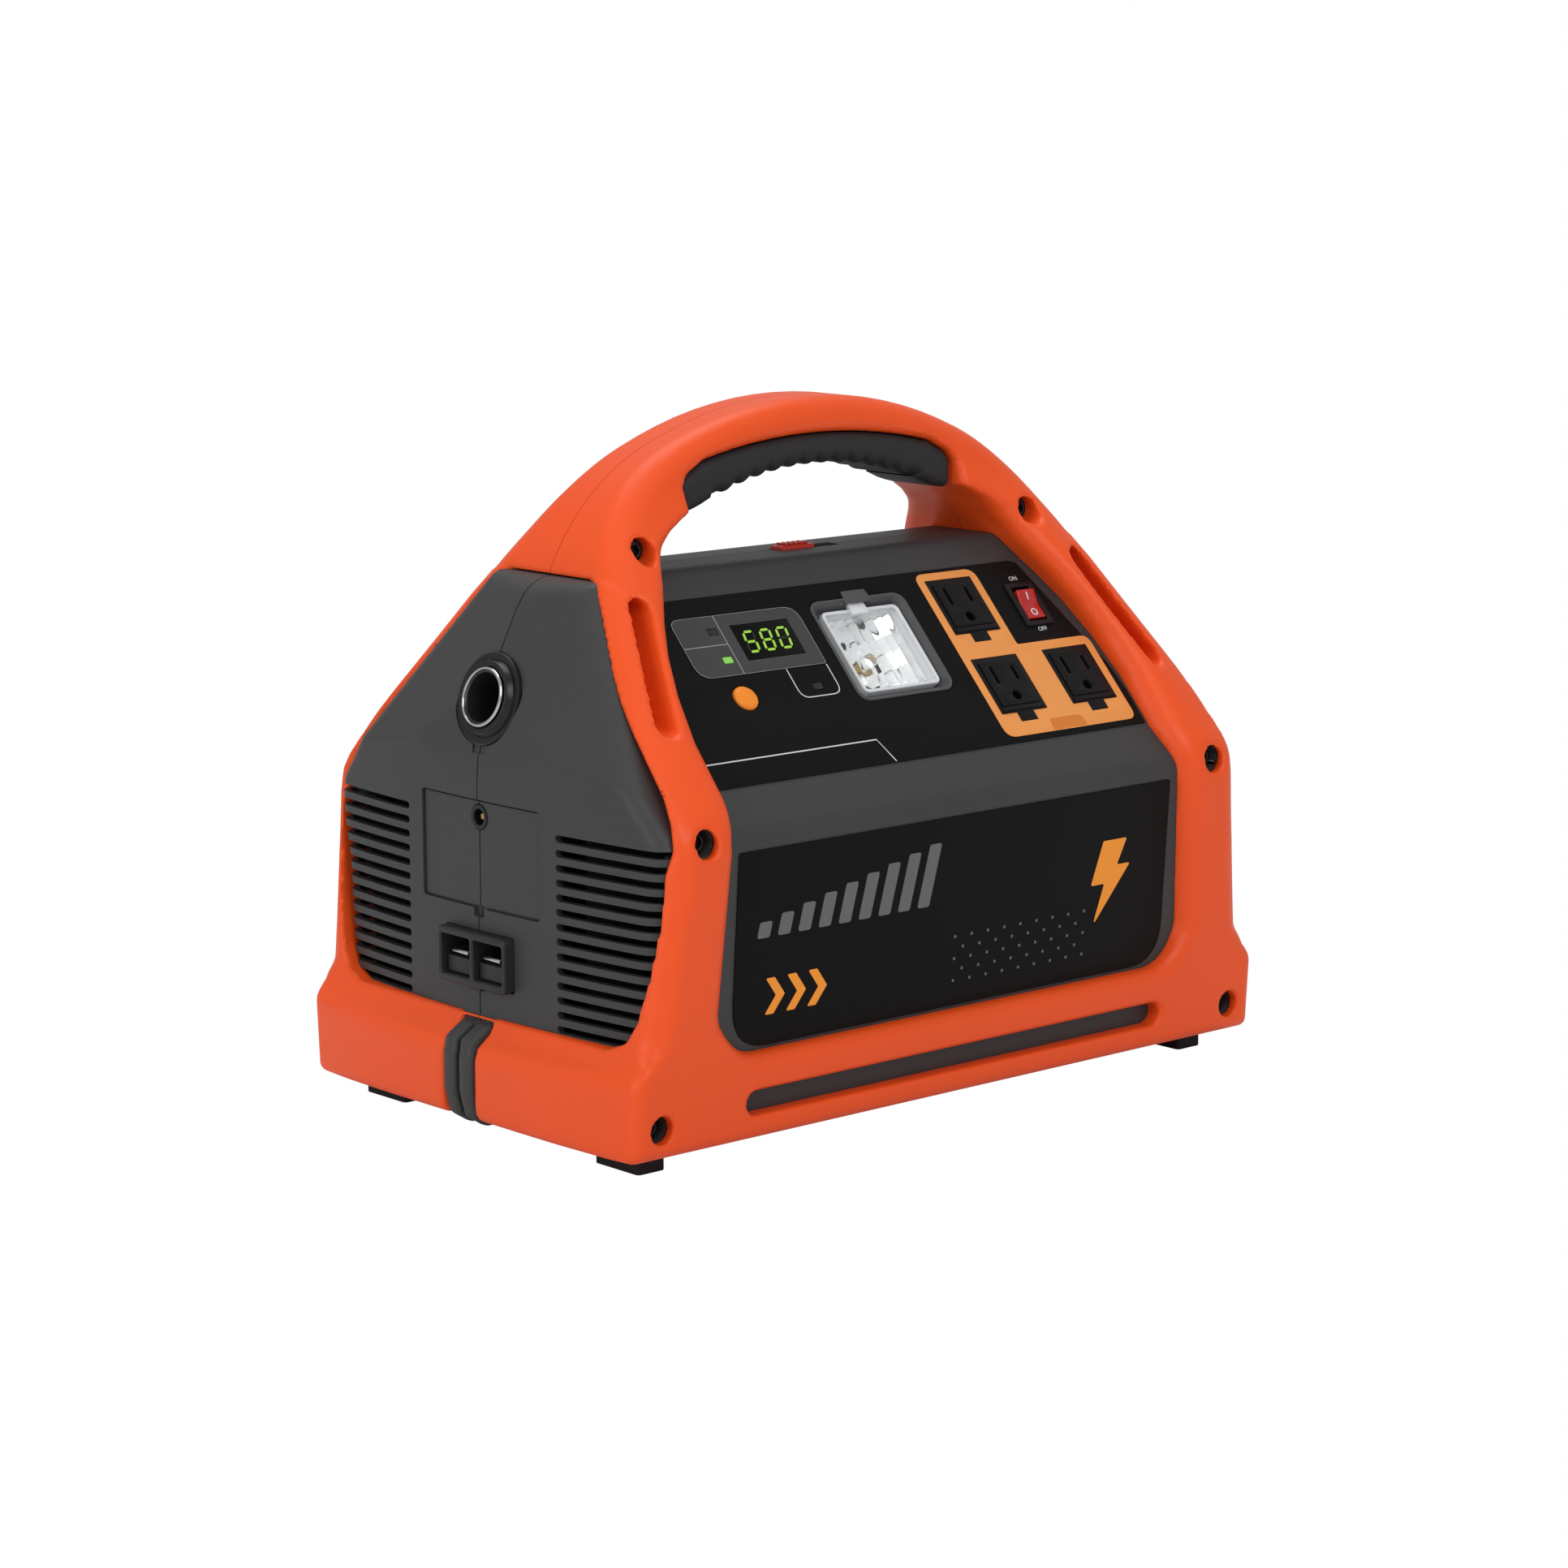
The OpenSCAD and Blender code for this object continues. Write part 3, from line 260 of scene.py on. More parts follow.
# The closed form of the body, which the frame leaves free
panel = (AY - 21.5 - (TOP - Z) * 0.9325) * 0.7314
body = both((AY - frame_low(Z) + 8) / LEAN, panel, 22, 0.777)
body = np.maximum(both(body, Z - TOP, 9, 0.682), 13 - Z)
land = np.maximum((AY - frame_low(Z) + 8) / LEAN, (AY - frame_high(Z)) * HIGH + 10)
land = np.maximum(np.maximum(land, Z - TOP), np.maximum(edge_of(Z) + 9 - AX, 13 - Z))
end = np.where(Z < 150, AX - 179, np.hypot(AX - 35, Z - 150) - 144)
end = np.maximum(end, np.hypot(AX + 581, Y) - 760)
end = both(end, ((AX - 157.5) + 0.168 * (AY - 62.1) + 0.4946 * (Z - 205)) / 1.128, 14, 0.95)
body = both(np.minimum(body, land), end, 7.5 + 4 * blend_of(Z, 130, 105))
plugs = np.full_like(body, 99)
for sx, sz, sy in SCREWS:
    bore = np.hypot(AX - sx, Z - sz)
    body = np.maximum(body, -np.maximum(bore - 8.9, sy - 14.5 - AY))
    if sz < 200:  # a dark boss of the body fills the lower recesses
        plug = np.maximum(bore - 8.6, np.maximum(sy - 18 - AY, AY - sy + 6.5))
        plugs = np.minimum(plugs, plug)
        body = np.maximum(np.minimum(body, plug + 0.15), -np.maximum(bore - 6.2, sy - SEAT - 0.2 - AY))
slot_x, slot_z = 138.2, 208  # middle of the long slot in each leg
step_x, step_z = 0.33, -0.944  # the way the slot runs
along = np.clip((AX - slot_x) * step_x + (Z - slot_z) * step_z, -23, 23)
slot_line = np.hypot(AX - slot_x - along * step_x, Z - slot_z - along * step_z)
cup = np.maximum(slot_line - 7.2, np.maximum(-21 - front, front + 4))
body = np.maximum(body, 0.5 - cup)
strip_points = [(158, 6), (182, 6), (190, 11), (193, 22), (193, 38), (191.5, 45.5), (182, 51.5), (158, 52)]
strip = outline_distance(gx, gz, mirrored(strip_points))[:, None, :]
channel = np.maximum(np.maximum(strip, AY - 10.3), 158 - AX)
rib = both(both(strip, AY - 10, 3), 1.1 - AY, 2)

# The cage: the outline's tube with its window, then what the body takes from it
edge = 13 - 7.5 * blend_of(Z, 62, 46) - 3 * blend_of(Z, 235, 270)
shell = both(both(outer, side, 22, 0.7), bow, 4)
shell = both(shell, front, edge)
shell = both(shell, -window, 12 - 5 * blend_of(Z, 66, 52) - 8 * blend_of(Z, 250, 266))
bare_points = [(86, 54), (97, 58), (103, 67), (108, 86), (111.5, 110), (112.3, 135)]
bare_points += [(108, 147), (91.2, 166.3), (32.5, 240.9)]
bare = outline_distance(gy, gz, mirrored(bare_points))[None, :, :]
shell = both(shell, -np.maximum(bare, 143 - AX), 1.5)
meet_z = (96, 114, 135, 150, 160, 184, 197, 219, 238)
meet_x = np.interp(Z, meet_z, (400, 182, 167.5, 160, 157.3, 157.5, 156.6, 152.5, 141.9))
meet_y = np.minimum(frame_low(Z) - 8, frame_high(Z) - 12.7)
shell = both(shell, np.minimum(0.8 * (AX - meet_x) - 0.6 * (AY - meet_y), 240.9 - Z), 8, 0.8)
shell = np.maximum(np.minimum(both(shell, -2.2 - body, 1.2), cup), -plugs)
shell = both(shell, 0.3 - channel, 2.5)
shell = np.maximum(shell, -np.maximum(np.maximum(AX - 125, Z - 13), -101.5 + AY))
shell = np.maximum(shell, -np.maximum(AX - 125, np.maximum(Z - 14, AY - 99.5)))
shell = both(shell, -np.maximum(slot_line - 4.6, -18 - front), 1.5)
shell = both(shell, 5.4 - np.hypot(AX - np.clip(AX, 0, 119.8), Z - 25.9), 2)
for sx, sz, sy in SCREWS:
    shell = both(shell, -np.maximum(np.hypot(AX - sx, Z - sz) - 6.0, sy - SEAT - AY), 1.3)


def halves(field, gap, faces, names, nodes):
    """The front half of a field, cut square at the joint, and its mirror image behind it."""
    front_half = field_piece(names[0], field, lo, GRID, nodes[0])
    with opened(front_half.data) as shape:
        whole = shape.verts[:] + shape.edges[:] + shape.faces[:]
        joint = (0, -gap / 1000, 0)
        bmesh.ops.bisect_plane(shape, geom=whole, plane_co=joint, plane_no=(0, 1, 0), clear_outer=True)
        rim = [e for e in shape.edges if e.is_boundary]
        bmesh.ops.triangle_fill(shape, edges=rim, use_beauty=True, normal=(0, 1, 0))
    thin_out(front_half, faces)
    mesh = front_half.data.copy()
    mesh.name = names[1]
    mesh.transform(Matrix.Scale(-1, 4, (0, 1, 0)))
    mesh.flip_normals()
    return front_half, shown(names[1], mesh, nodes[1:])


names = ("orange_frame_front", "orange_frame_rear")
frame_front, frame_rear = halves(shell, 0.2, 46000, names, ("frame_front", "frame_rear"))


def linear(r, g, b):
    """Screen colour, 0 to 255, to the linear values that shaders take."""
    shares = (r / 255, g / 255, b / 255)
    return [c / 12.92 if c <= 0.04045 else ((c + 0.055) / 1.055) ** 2.4 for c in shares] + [1.0]


def feed(tree, node, values):
    """Sets a node's inputs, each to a value or to what another node gives out."""
    for key, value in values.items():
        if isinstance(value, bpy.types.NodeSocket):
            tree.links.new(value, node.inputs[key])
        else:
            node.inputs[key].default_value = value
    return node


def shade(tree, kind, values, operation=None):
    """A new shader node with its inputs set."""
    node = tree.nodes.new("ShaderNode" + kind)
    if operation:
        node.operation = operation
    return feed(tree, node, values)


def moulded(
    name, colour, rough, grain=0.35, size=0.0011, spread=0.06, metallic=0.0, coat=0.0, gloss=0.3, extra=None
):
    """Plastic, rubber or metal: grain bump, cloudy colour and roughness, all from noise."""
    material = bpy.data.materials.new(name)
    material.use_nodes = True
    tree = material.node_tree
    place = tree.nodes.new("ShaderNodeTexCoord").outputs["Object"]
    cloud = shade(tree, "TexNoise", {"Scale": 18, "Detail": 3, "Vector": place})
    ramp = shade(tree, "MapRange", {"To Min": 1 - spread, "To Max": 1 + spread, "Value": cloud.outputs["Fac"]})
    tint = shade(tree, "VectorMath", {0: linear(*colour)[:3], "Scale": ramp.outputs["Result"]}, "SCALE")
    fine = shade(tree, "TexNoise", {"Scale": 1 / size, "Detail": 4, "Vector": place}).outputs["Fac"]
    least, most = max(0.02, rough - 0.07), min(1.0, rough + 0.07)
    dull = shade(tree, "MapRange", {"To Min": least, "To Max": most, "Value": fine})
    bump = shade(tree, "Bump", {"Strength": grain, "Distance": 0.0001, "Height": fine})
    looks = {"Base Color": tint.outputs["Vector"], "Roughness": dull.outputs["Result"]}
    looks |= {"Normal": bump.outputs["Normal"], "Metallic": metallic, "Specular IOR Level": gloss}
    looks |= {"Coat Weight": coat, "Coat Roughness": 0.12}
    feed(tree, tree.nodes["Principled BSDF"], looks | (extra or {}))
    return material


orange = moulded("orange_grained", (232, 80, 24), 0.42, grain=0.5, size=0.0009, spread=0.03)
for piece in (frame_front, frame_rear):
    piece.data.materials.append(orange)

# --------------------
# Body halves. Two charcoal shells, 3 mm thick, split at the middle plane and
# clamped between the frame halves. Slots for air are cut through all four
# corners; the front half is opened for the controls and the end for the sockets.
case = np.maximum(body, -(body + max(3, 2.2 * GRID)))
case = np.minimum(case, np.maximum(rib, 171 - AX))
names = ("body_shell_front", "body_shell_rear")
body_front, body_rear = halves(case, 0.35, 36000, names, ("body_front", "body_rear"))

charcoal = moulded("charcoal_grained", (57, 57, 58), 0.5, grain=0.6, size=0.0009, spread=0.05)
for piece in (body_front, body_rear):
    piece.data.materials.append(charcoal)

# --------------------
# Holes in the body. Air slots with round ends at every corner, the mouth of the
# 12 V socket, the charging jack, the jumper connector, the label recess, the
# slider's slot in the top and the openings under the panel's controls.
PANEL = Matrix(((1, 0, 0, 0), (0, 0.6820, -0.7314, -0.0215), (0, 0.7314, 0.6820, 0.2405), (0, 0, 0, 1)))
FACE = Matrix(((1, 0, 0, 0), (0, -0.0693, -0.9976, -0.10392), (0, 0.9976, -0.0693, 0), (0, 0, 0, 1)))
LEFT_END = Matrix(((0, 0, -1, -0.179), (-1, 0, 0, 0), (0, 1, 0, 0), (0, 0, 0, 1)))
RIGHT_END = Matrix(((0, 0, 1, 0.179), (1, 0, 0, 0), (0, 1, 0, 0), (0, 0, 0, 1)))
SOCKET = Matrix(((0, 0.2840, -0.9588, -0.17307), (-1, 0, 0, 0), (0, 0.9588, 0.2840, 0.1909), (0, 0, 0, 1)))
FLAT = Matrix.Identity(4)


def panel_point(u, s):
    """Places a piece at u, s on the panel, s measured down from its top edge."""
    return PANEL @ Matrix.Translation((u * 0.001, -s * 0.001, 0))


def rounded(w, h, r, x=0.0, y=0.0, steps=6):
    """Rectangle with round corners as a closed loop."""
    r = max(r, 0.01)
    loop = []
    for k, (sx, sy) in enumerate(((1, 1), (-1, 1), (-1, -1), (1, -1))):
        cx, cy = x + sx * (w / 2 - r), y + sy * (h / 2 - r)
        loop += arc(cx, cy, r, 90 * k, 90 * k + 90, steps)
    return loop


def disc(r, x=0.0, y=0.0, steps=32):
    return arc(x, y, r, 0, 360 - 360 / steps, steps - 1)


def soft(points, r, steps=5):
    """A polygon with each corner rounded to r, or to its own radius in a list."""
    loop = []
    for i, p in enumerate(points):
        radius = r[i] if isinstance(r, (list, tuple)) else r
        p, a, b = Vector(p), Vector(points[i - 1]), Vector(points[(i + 1) % len(points)])
        da, db = (a - p).normalized(), (b - p).normalized()
        half = math.acos(max(-1, min(1, da.dot(db)))) / 2
        if radius <= 0 or half > 1.56:
            loop.append(tuple(p))
            continue
        cut = min(radius / math.tan(half), (a - p).length / 2.02, (b - p).length / 2.02)
        start, stop = p + da * cut, p + db * cut
        for k in range(steps + 1):
            t = k / steps
            loop.append(tuple(start * (1 - t) ** 2 + p * 2 * t * (1 - t) + stop * t * t))
    return loop


def mesh_of(curve):
    """The filled mesh of a curve or a text."""
    holder = linked("holder", curve)
    bpy.context.view_layer.update()
    mesh = bpy.data.meshes.new_from_object(holder.evaluated_get(bpy.context.evaluated_depsgraph_get()))
    bpy.data.objects.remove(holder)
    return mesh


def plate(loops, low, high, place=FLAT, bevel=0.0):
    """Mesh of a flat piece between two heights: first loop outside, the others are holes."""
    flat = bpy.data.curves.new("plate", "CURVE")
    flat.dimensions = "2D"
    flat.fill_mode = "BOTH"
    flat.extrude = ((high - low) / 2 - bevel) * 0.001
    flat.bevel_depth = bevel * 0.001
    flat.bevel_resolution = 2
    flat.offset = -bevel * 0.001
    for loop in loops:
        line = flat.splines.new("POLY")
        line.points.add(len(loop) - 1)
        for point, (x, y) in zip(line.points, loop):
            point.co = (x * 0.001, y * 0.001, 0, 1)
        line.use_cyclic_u = True
    mesh = mesh_of(flat)
    mesh.transform(place @ Matrix.Translation((0, 0, (low + high) * 0.0005)))
    if place.determinant() < 0:
        mesh.flip_normals()
    return mesh


def joined(meshes):
    """One mesh out of several."""
    whole = bmesh.new()
    for mesh in meshes:
        whole.from_mesh(mesh)
    bmesh.ops.remove_doubles(whole, verts=whole.verts, dist=1e-7)
    result = meshes[0].copy()
    whole.to_mesh(result)
    whole.free()
    return result


def piece_of(name, meshes, material, nodes=(), body="pack", crease=0.6):
    """Turns meshes into one visible piece."""
    mesh = joined(meshes if isinstance(meshes, list) else [meshes])
    mesh.name = name
    smooth(mesh)
    mesh.set_sharp_from_angle(angle=crease)
    mesh.materials.clear()
    mesh.materials.append(material)
    return shown(name, mesh, nodes, body)


OUTLETS = [(61.4, 37.7), (61.4, 82.0), (106.2, 82.0)]
LEDS = [(-85.8, 35.0), (-85.8, 50.0), (-45.7, 69.0)]
ROCKER = (100.8, 41.6)
BUTTON = (-87.3, 69.8)
WINDOW = (-58.5, 42.2)
LAMP = (2.1, 53.0)
LENS = (3.8, 52.4)


def outlet_loop(gap=0.0):
    """An outlet's face: a square with a tab below."""
    w, h, t = 14 + gap, 15 + gap, 5 + gap
    return [(-w, h), (-w, -h), (-t, -h), (-t, -h - 5), (t, -h - 5), (t, -h), (w, -h), (w, h)]


def along_bow(mesh):
    """Bends a cut in the end so that it keeps its depth along the end's bow."""
    with opened(mesh) as shape:
        for k in range(-6, 7):
            whole = shape.verts[:] + shape.edges[:] + shape.faces[:]
            bmesh.ops.bisect_plane(shape, geom=whole, plane_co=(0, k * 0.0065, 0), plane_no=(0, 1, 0))
        for vert in shape.verts:
            vert.co.x += vert.co.y ** 2 / 1.52
    return mesh


holes = []
for k in range(14):
    z = 56 + 6.3 * k
    for side_sign in (1, -1):
        slot = arc(52.6, z, 1.6, 90, 270, 6) + [(125, z - 1.6), (125, z + 1.6)]
        slot = [(side_sign * x, y) for x, y in slot]
        holes += [plate([slot], -22, 12, end_face) for end_face in (LEFT_END, RIGHT_END)]
label_line = [rounded(81.4, 47.4, 1.6, 0, 124), rounded(79.4, 45.4, 1, 0, 124)]
holes += [
    plate([disc(15.8)], -40, -2.5, SOCKET),
    plate([disc(20.85, steps=64)], -2.6, 12, SOCKET),
    plate([rounded(9, 6, 1, 0, -21)], -2.6, 12, SOCKET),
    along_bow(plate([rounded(81, 47, 1.5, 0, 124)], -1.1, 4, LEFT_END)),
    along_bow(plate(label_line, -2.0, 4, LEFT_END)),
    plate([rounded(7, 5, 0.8, 0, 99)], -2.2, 4, LEFT_END),
    plate([disc(5.8, 0, 140)], -8, 4, LEFT_END),
    plate([rounded(47.6, 24.6, 1.5, 0, 78.5)], -12, 5, LEFT_END),
    plate([rounded(36, 9.4, 1.2, 8, 0)], 234, 244),
]
openings = [(outlet_loop(0.3), spot) for spot in OUTLETS]
openings += [(rounded(5.6, 3.8, 0.4), spot) for spot in LEDS]
openings += [(rounded(15, 22.6, 0.5), ROCKER), (disc(6.8), BUTTON)]
openings += [(rounded(57.8, 55.1, 6), LAMP), (rounded(33.2, 19, 0.4), WINDOW)]
holes += [plate([loop], -14, 6, panel_point(*spot)) for loop, spot in openings]
cutter = linked("cutter", joined(holes))
for piece in (body_front, body_rear):
    apply_modifier(piece, "BOOLEAN", operation="DIFFERENCE", solver="EXACT", object=cutter, use_self=True)
bpy.data.objects.remove(cutter)
for piece in (frame_front, frame_rear, body_front, body_rear):
    smooth(piece.data)
    piece.data.set_sharp_from_angle(angle=0.9)
    apply_modifier(piece, "WEIGHTED_NORMAL", keep_sharp=True, weight=60)

# --------------------
# Grip. Soft black rubber over the inside of the handle, with finger bumps along
# its lower edge. It sits in the frame's upper window and is moulded on.
grip_lo, grip_hi = (-92.0, -23.0, 256.0), (92.0, 23.0, 298.0)
GRIP_STEP = 0.9
hx, hy, hz = (np.arange(a, b, GRIP_STEP, dtype=np.float32) for a, b in zip(grip_lo, grip_hi))
HX, HY = hx[:, None, None], hy[None, :, None]
over = [(80, 262), (81.1, 266), (81.3, 276)] + arc(71.9, 273.5, 9.2, 20, 75, 4) + arc(0, -6, 299.6, 76.9, 90, 8)
hand = [(90, 236), (90, 258), (80, 261.6), (76, 262.8), (67, 266), (58, 270)] + arc(0, 111.5, 170, 69, 90, 8)
over_field = outline_distance(hx, hz, mirrored(over))[:, None, :]
hand_field = outline_distance(hx, hz, mirrored(hand))[:, None, :]
bump = 2.2 * np.abs(np.sin(np.pi * HX / 9.6)) * blend_of(62 - np.abs(HX), 0, 8) * blend_of(25 - np.abs(HY), 2, 8)
grip = both(over_field, -(hand_field + bump - 0.6), 4)
grip = both(grip, np.abs(HY) - 20.9, 6)
grip_piece = field_piece("grip", grip, grip_lo, GRIP_STEP, "handle_grip")
thin_out(grip_piece, 26000)
rubber = moulded("grip_rubber", (38, 38, 40), 0.62, grain=0.7, size=0.0007, spread=0.08)
grip_piece.data.materials.append(rubber)

# --------------------
# Frame screws. Black coated button heads with a hex socket, sunk in round
# recesses, six through each frame half into the body's bosses.


def ring_skin(rings, place, capped=False):
    """Skin through closed rings of points in millimetres, the last one filled if capped."""
    n = len(rings[0])
    verts = [[c * 0.001 for c in point] for ring in rings for point in ring]
    faces = []
    for a in range(0, len(verts) - n, n):
        faces += [(a + i, a + (i + 1) % n, a + n + (i + 1) % n, a + n + i) for i in range(n)]
    if capped:
        faces.append(tuple(range(len(verts) - n, len(verts))))
    mesh = bpy.data.meshes.new("rings")
    mesh.from_pydata(verts, [], faces)
    with opened(mesh) as shape:
        bmesh.ops.remove_doubles(shape, verts=shape.verts, dist=1e-7)
        bmesh.ops.recalc_face_normals(shape, faces=shape.faces)
    mesh.transform(place)
    return mesh


def swept(profile, steps=48):
    """A ring round the local Z for each (radius, height) point of the profile."""
    turns = [2 * math.pi * i / steps for i in range(steps)]
    return [[(r * math.cos(a), r * math.sin(a), w) for a in turns] for r, w in profile]


def lathe(profile, place, steps=48):
    """Turned piece."""
    return ring_skin(swept(profile, steps), place)


def screw_head(place):
    """Button head with a six-sided socket whose floor is 2.2 mm down."""
    dome = [(5.3, 0.0), (5.3, 1.5), (5.05, 2.3), (4.5, 2.9), (3.6, 3.3), (3.0, 3.35), (2.75, 3.2)]
    rings = swept(dome)
    reach = [2.35 / math.cos(math.pi / 24 * (i % 8) - math.pi / 6) for i in range(48)]
    for w in (3.1, 1.0):
        rings.append([(r * x, r * y, w) for r, (x, y, _) in zip(reach, swept([(1, 0)])[0])])
    return ring_skin(rings, place, capped=True)


black_steel = moulded("black_steel", (40, 40, 42), 0.32, grain=0.15, size=0.0004, spread=0.1, metallic=0.7)
for side_sign, side_name in ((-1, "front"), (1, "rear")):
    heads = []
    for sx, sz, sy in SCREWS:
        for x in (sx, -sx):
            seat = Matrix.Translation((x / 1000, side_sign * (sy - SEAT) / 1000, sz / 1000))
            seat = seat @ Matrix.Rotation(-side_sign * math.pi / 2, 4, "X")
            shank = [(0, -23.5), (1.8, -23.5), (2.2, -22.5), (2.2, 0.05), (0, 0.05)]
            heads += [screw_head(seat), lathe(shank, seat, 20)]
    screws = "frame_screws_" + side_name
    piece_of(screws + "_heads", heads, black_steel, [screws], crease=0.7)

# --------------------
# Feet. Four black rubber blocks with soft edges and a rimmed tread, pressed
# into the underside of the frame.
foot_rubber = moulded("foot_rubber", (34, 34, 35), 0.75, grain=0.8, size=0.0006, spread=0.1)
feet = []
for x in (-163.5, 163.5):
    for y in (-81.5, 81.5):
        spot = Matrix.Translation((x / 1000, y / 1000, 0))
        feet.append(plate([rounded(15, 29, 2)], 0.6, 9.5, spot, 0.5))
        feet.append(plate([rounded(15, 29, 2), rounded(10.6, 24.6, 1.2)], 0, 1.6, spot, 0.4))
piece_of("rubber_feet", feet, foot_rubber, ["feet"])

# --------------------
# Panel film. Matt black printed film glued to the slanted face, open for every
# control, with fine pale lines round the charging lamp and an empty name box.


def panel_edge(s, inset=1.5):
    """Half width of the film at s down the panel, clear of the frame."""
    z = TOP - s * 0.7314
    return min(float(leg_inner(z)), float(edge_of(z))) - inset


FILM, INK = (0.02, 0.6), (0.55, 0.72)  # lowest and highest point of the film and of its prints
film = moulded("black_film", (19, 19, 20), 0.5, grain=0.25, size=0.0005, spread=0.05, gloss=0.06)
film_loop = [(panel_edge(s), -s) for s in (112.4, 94, 78, 60, 42, 26, 18)] + [(panel_edge(18) - 4, -16.4)]
outlet_cuts = [[(u + x, -s + y) for x, y in outlet_loop(0.25)] for u, s in OUTLETS]
window_cut = rounded(33.1, 18.9, 0.4, WINDOW[0], -WINDOW[1])
led_cuts = [rounded(5.5, 3.7, 0.3, u, -s) for u, s in LEDS]
control_cuts = [
    rounded(14.9, 22.5, 0.5, ROCKER[0], -ROCKER[1]),
    disc(6.75, BUTTON[0], -BUTTON[1]),
    rounded(57.6, 54.9, 6, LAMP[0], -LAMP[1]),
    window_cut,
]
film_loops = [mirrored(film_loop)] + outlet_cuts + control_cuts + led_cuts
piece_of("panel_film", plate(film_loops, *FILM, PANEL, 0.12), film, ["panel_label"])

white_ink = moulded("white_ink", (205, 205, 205), 0.5, grain=0.1, size=0.0005, spread=0.04)


def line_loop(points, width=0.55):
    """Closed outline of a drawn line through the points."""
    points = [Vector(p) for p in points]
    left, right = [], []
    for i, p in enumerate(points):
        a, b = points[max(i - 1, 0)], points[min(i + 1, len(points) - 1)]
        d = (b - a).normalized()
        normal = Vector((-d.y, d.x))
        step = (p - a).normalized() if i else d
        reach = width / 2 / max(0.5, abs(Vector((-step.y, step.x)).dot(normal)))
        left.append(tuple(p + normal * reach))
        right.append(tuple(p - normal * reach))
    return left + right[::-1]


name_box = [(1.0 - panel_edge(99.9), -99.9), (-30.5, -99.9), (-26.2, -112.0)]
charge_box = soft([(-57.4, -58.4), (-57.4, -74), (-34.2, -74), (-34.2, -58.4)], [0, 5, 5, 0], 6)
boxes = (line_loop(name_box, 0.6), line_loop(charge_box, 0.5))
inks = [plate([box], *INK, PANEL) for box in boxes]
for text, s in (("ON", 26.6), ("OFF", 55.4)):
    word = bpy.data.curves.new("word", "FONT")
    word.body = text
    word.size = 0.0032
    word.align_x = word.align_y = "CENTER"
    word.extrude = 0.00008
    inks.append(mesh_of(word))
    inks[-1].transform(panel_point(ROCKER[0], s) @ Matrix.Translation((0, 0, 0.00064)))
piece_of("panel_lines", inks, white_ink)

# --------------------
# Display. A grey printed plate with two fields, a smoked window with three lit
# digits, two small lamps, a charging lamp and an orange rubber button.
plate_grey = moulded("display_grey", (60, 60, 62), 0.42, grain=0.2, size=0.0005, spread=0.06)
display_loop = soft([(-34, -26.7), (-106, -26.7), (-106, -58.1), (-34, -58.1)], [8, 5, 8, 1.5], 8)
grey_plate = plate([display_loop, window_cut] + led_cuts[:2], 0.6, 0.95, PANEL, 0.1)
piece_of("display_plate", grey_plate, plate_grey, ["display_bezel"])
pale = moulded("pale_ink", (150, 150, 152), 0.5, grain=0.1, size=0.0005, spread=0.04)
rim_in = [(x * 0.994 - 0.42, y * 0.99 - 0.424) for x, y in display_loop]
dividers = ([(-81.2, -26.9), (-81.2, -57.9)], [(-105.8, -42), (-81.2, -42)])
outlines = [[display_loop, rim_in]] + [[line_loop(divider, 0.4)] for divider in dividers]
piece_of("display_lines", [plate(loops, 0.93, 1.0, PANEL) for loops in outlines], pale)

smoked = moulded("smoked_window", (9, 12, 9), 0.16, grain=0.03, size=0.002, spread=0.04, gloss=0.1)
window_spot = panel_point(*WINDOW)
pane = plate([rounded(32.6, 18.4, 0.5)], -2.4, 0.85, window_spot, 0.15)
piece_of("window", pane, smoked, ["display_window"])


def lit(name, colour, glow):
    """Plastic that shines a little by itself."""
    glowing = {"Emission Color": linear(*colour), "Emission Strength": glow}
    return moulded(name, colour, 0.35, grain=0.05, size=0.001, spread=0.08, extra=glowing)


SEGMENTS = {"5": "afgcd", "8": "abcdefg", "0": "abcdef"}
green = lit("green_segments", (142, 188, 62), 0.35)
unlit = moulded("unlit_segments", (24, 30, 22), 0.3, grain=0.05, size=0.001, spread=0.05)
bright, dim = [], []
for k, digit in enumerate("580"):
    w, h, t, slant = 2.7, 5.2, 0.62, 0.16
    spots = {"a": (0, h), "g": (0, 0), "d": (0, -h)}
    spots |= {"f": (-w, h / 2), "b": (w, h / 2), "e": (-w, -h / 2), "c": (w, -h / 2)}
    for letter, (mx, my) in spots.items():
        long = (w if mx == 0 else h / 2) - 0.4
        point = long - 0.6
        bar = [(-long, 0), (-point, t), (point, t), (long, 0), (point, -t), (-point, -t)]
        bar = [(mx + x, my + y) if mx == 0 else (mx + y, my + x) for x, y in bar]
        bar = [(x + slant * y + (k - 1) * 9.4, y) for x, y in bar]
        bar = plate([bar], 0.84, 0.92, window_spot)
        (bright if letter in SEGMENTS[digit] else dim).append(bar)
piece_of("lit_digits", bright, green, ["display_digits"])
piece_of("unlit_segments", dim, unlit)

lamp_dark = moulded("lamp_dark", (38, 40, 42), 0.25, grain=0.05, size=0.001, spread=0.1)
leds = []
for spot, top in zip(LEDS, (0.9, 1.05, 0.9)):
    leds.append(plate([rounded(5, 3.2, 0.4)], -3, top, panel_point(*spot), 0.25))
piece_of("status_lamps_dark", leds[::2], lamp_dark, ["status_leds"])
piece_of("status_lamp_lit", leds[1], lit("lamp_green", (120, 188, 80), 0.3))

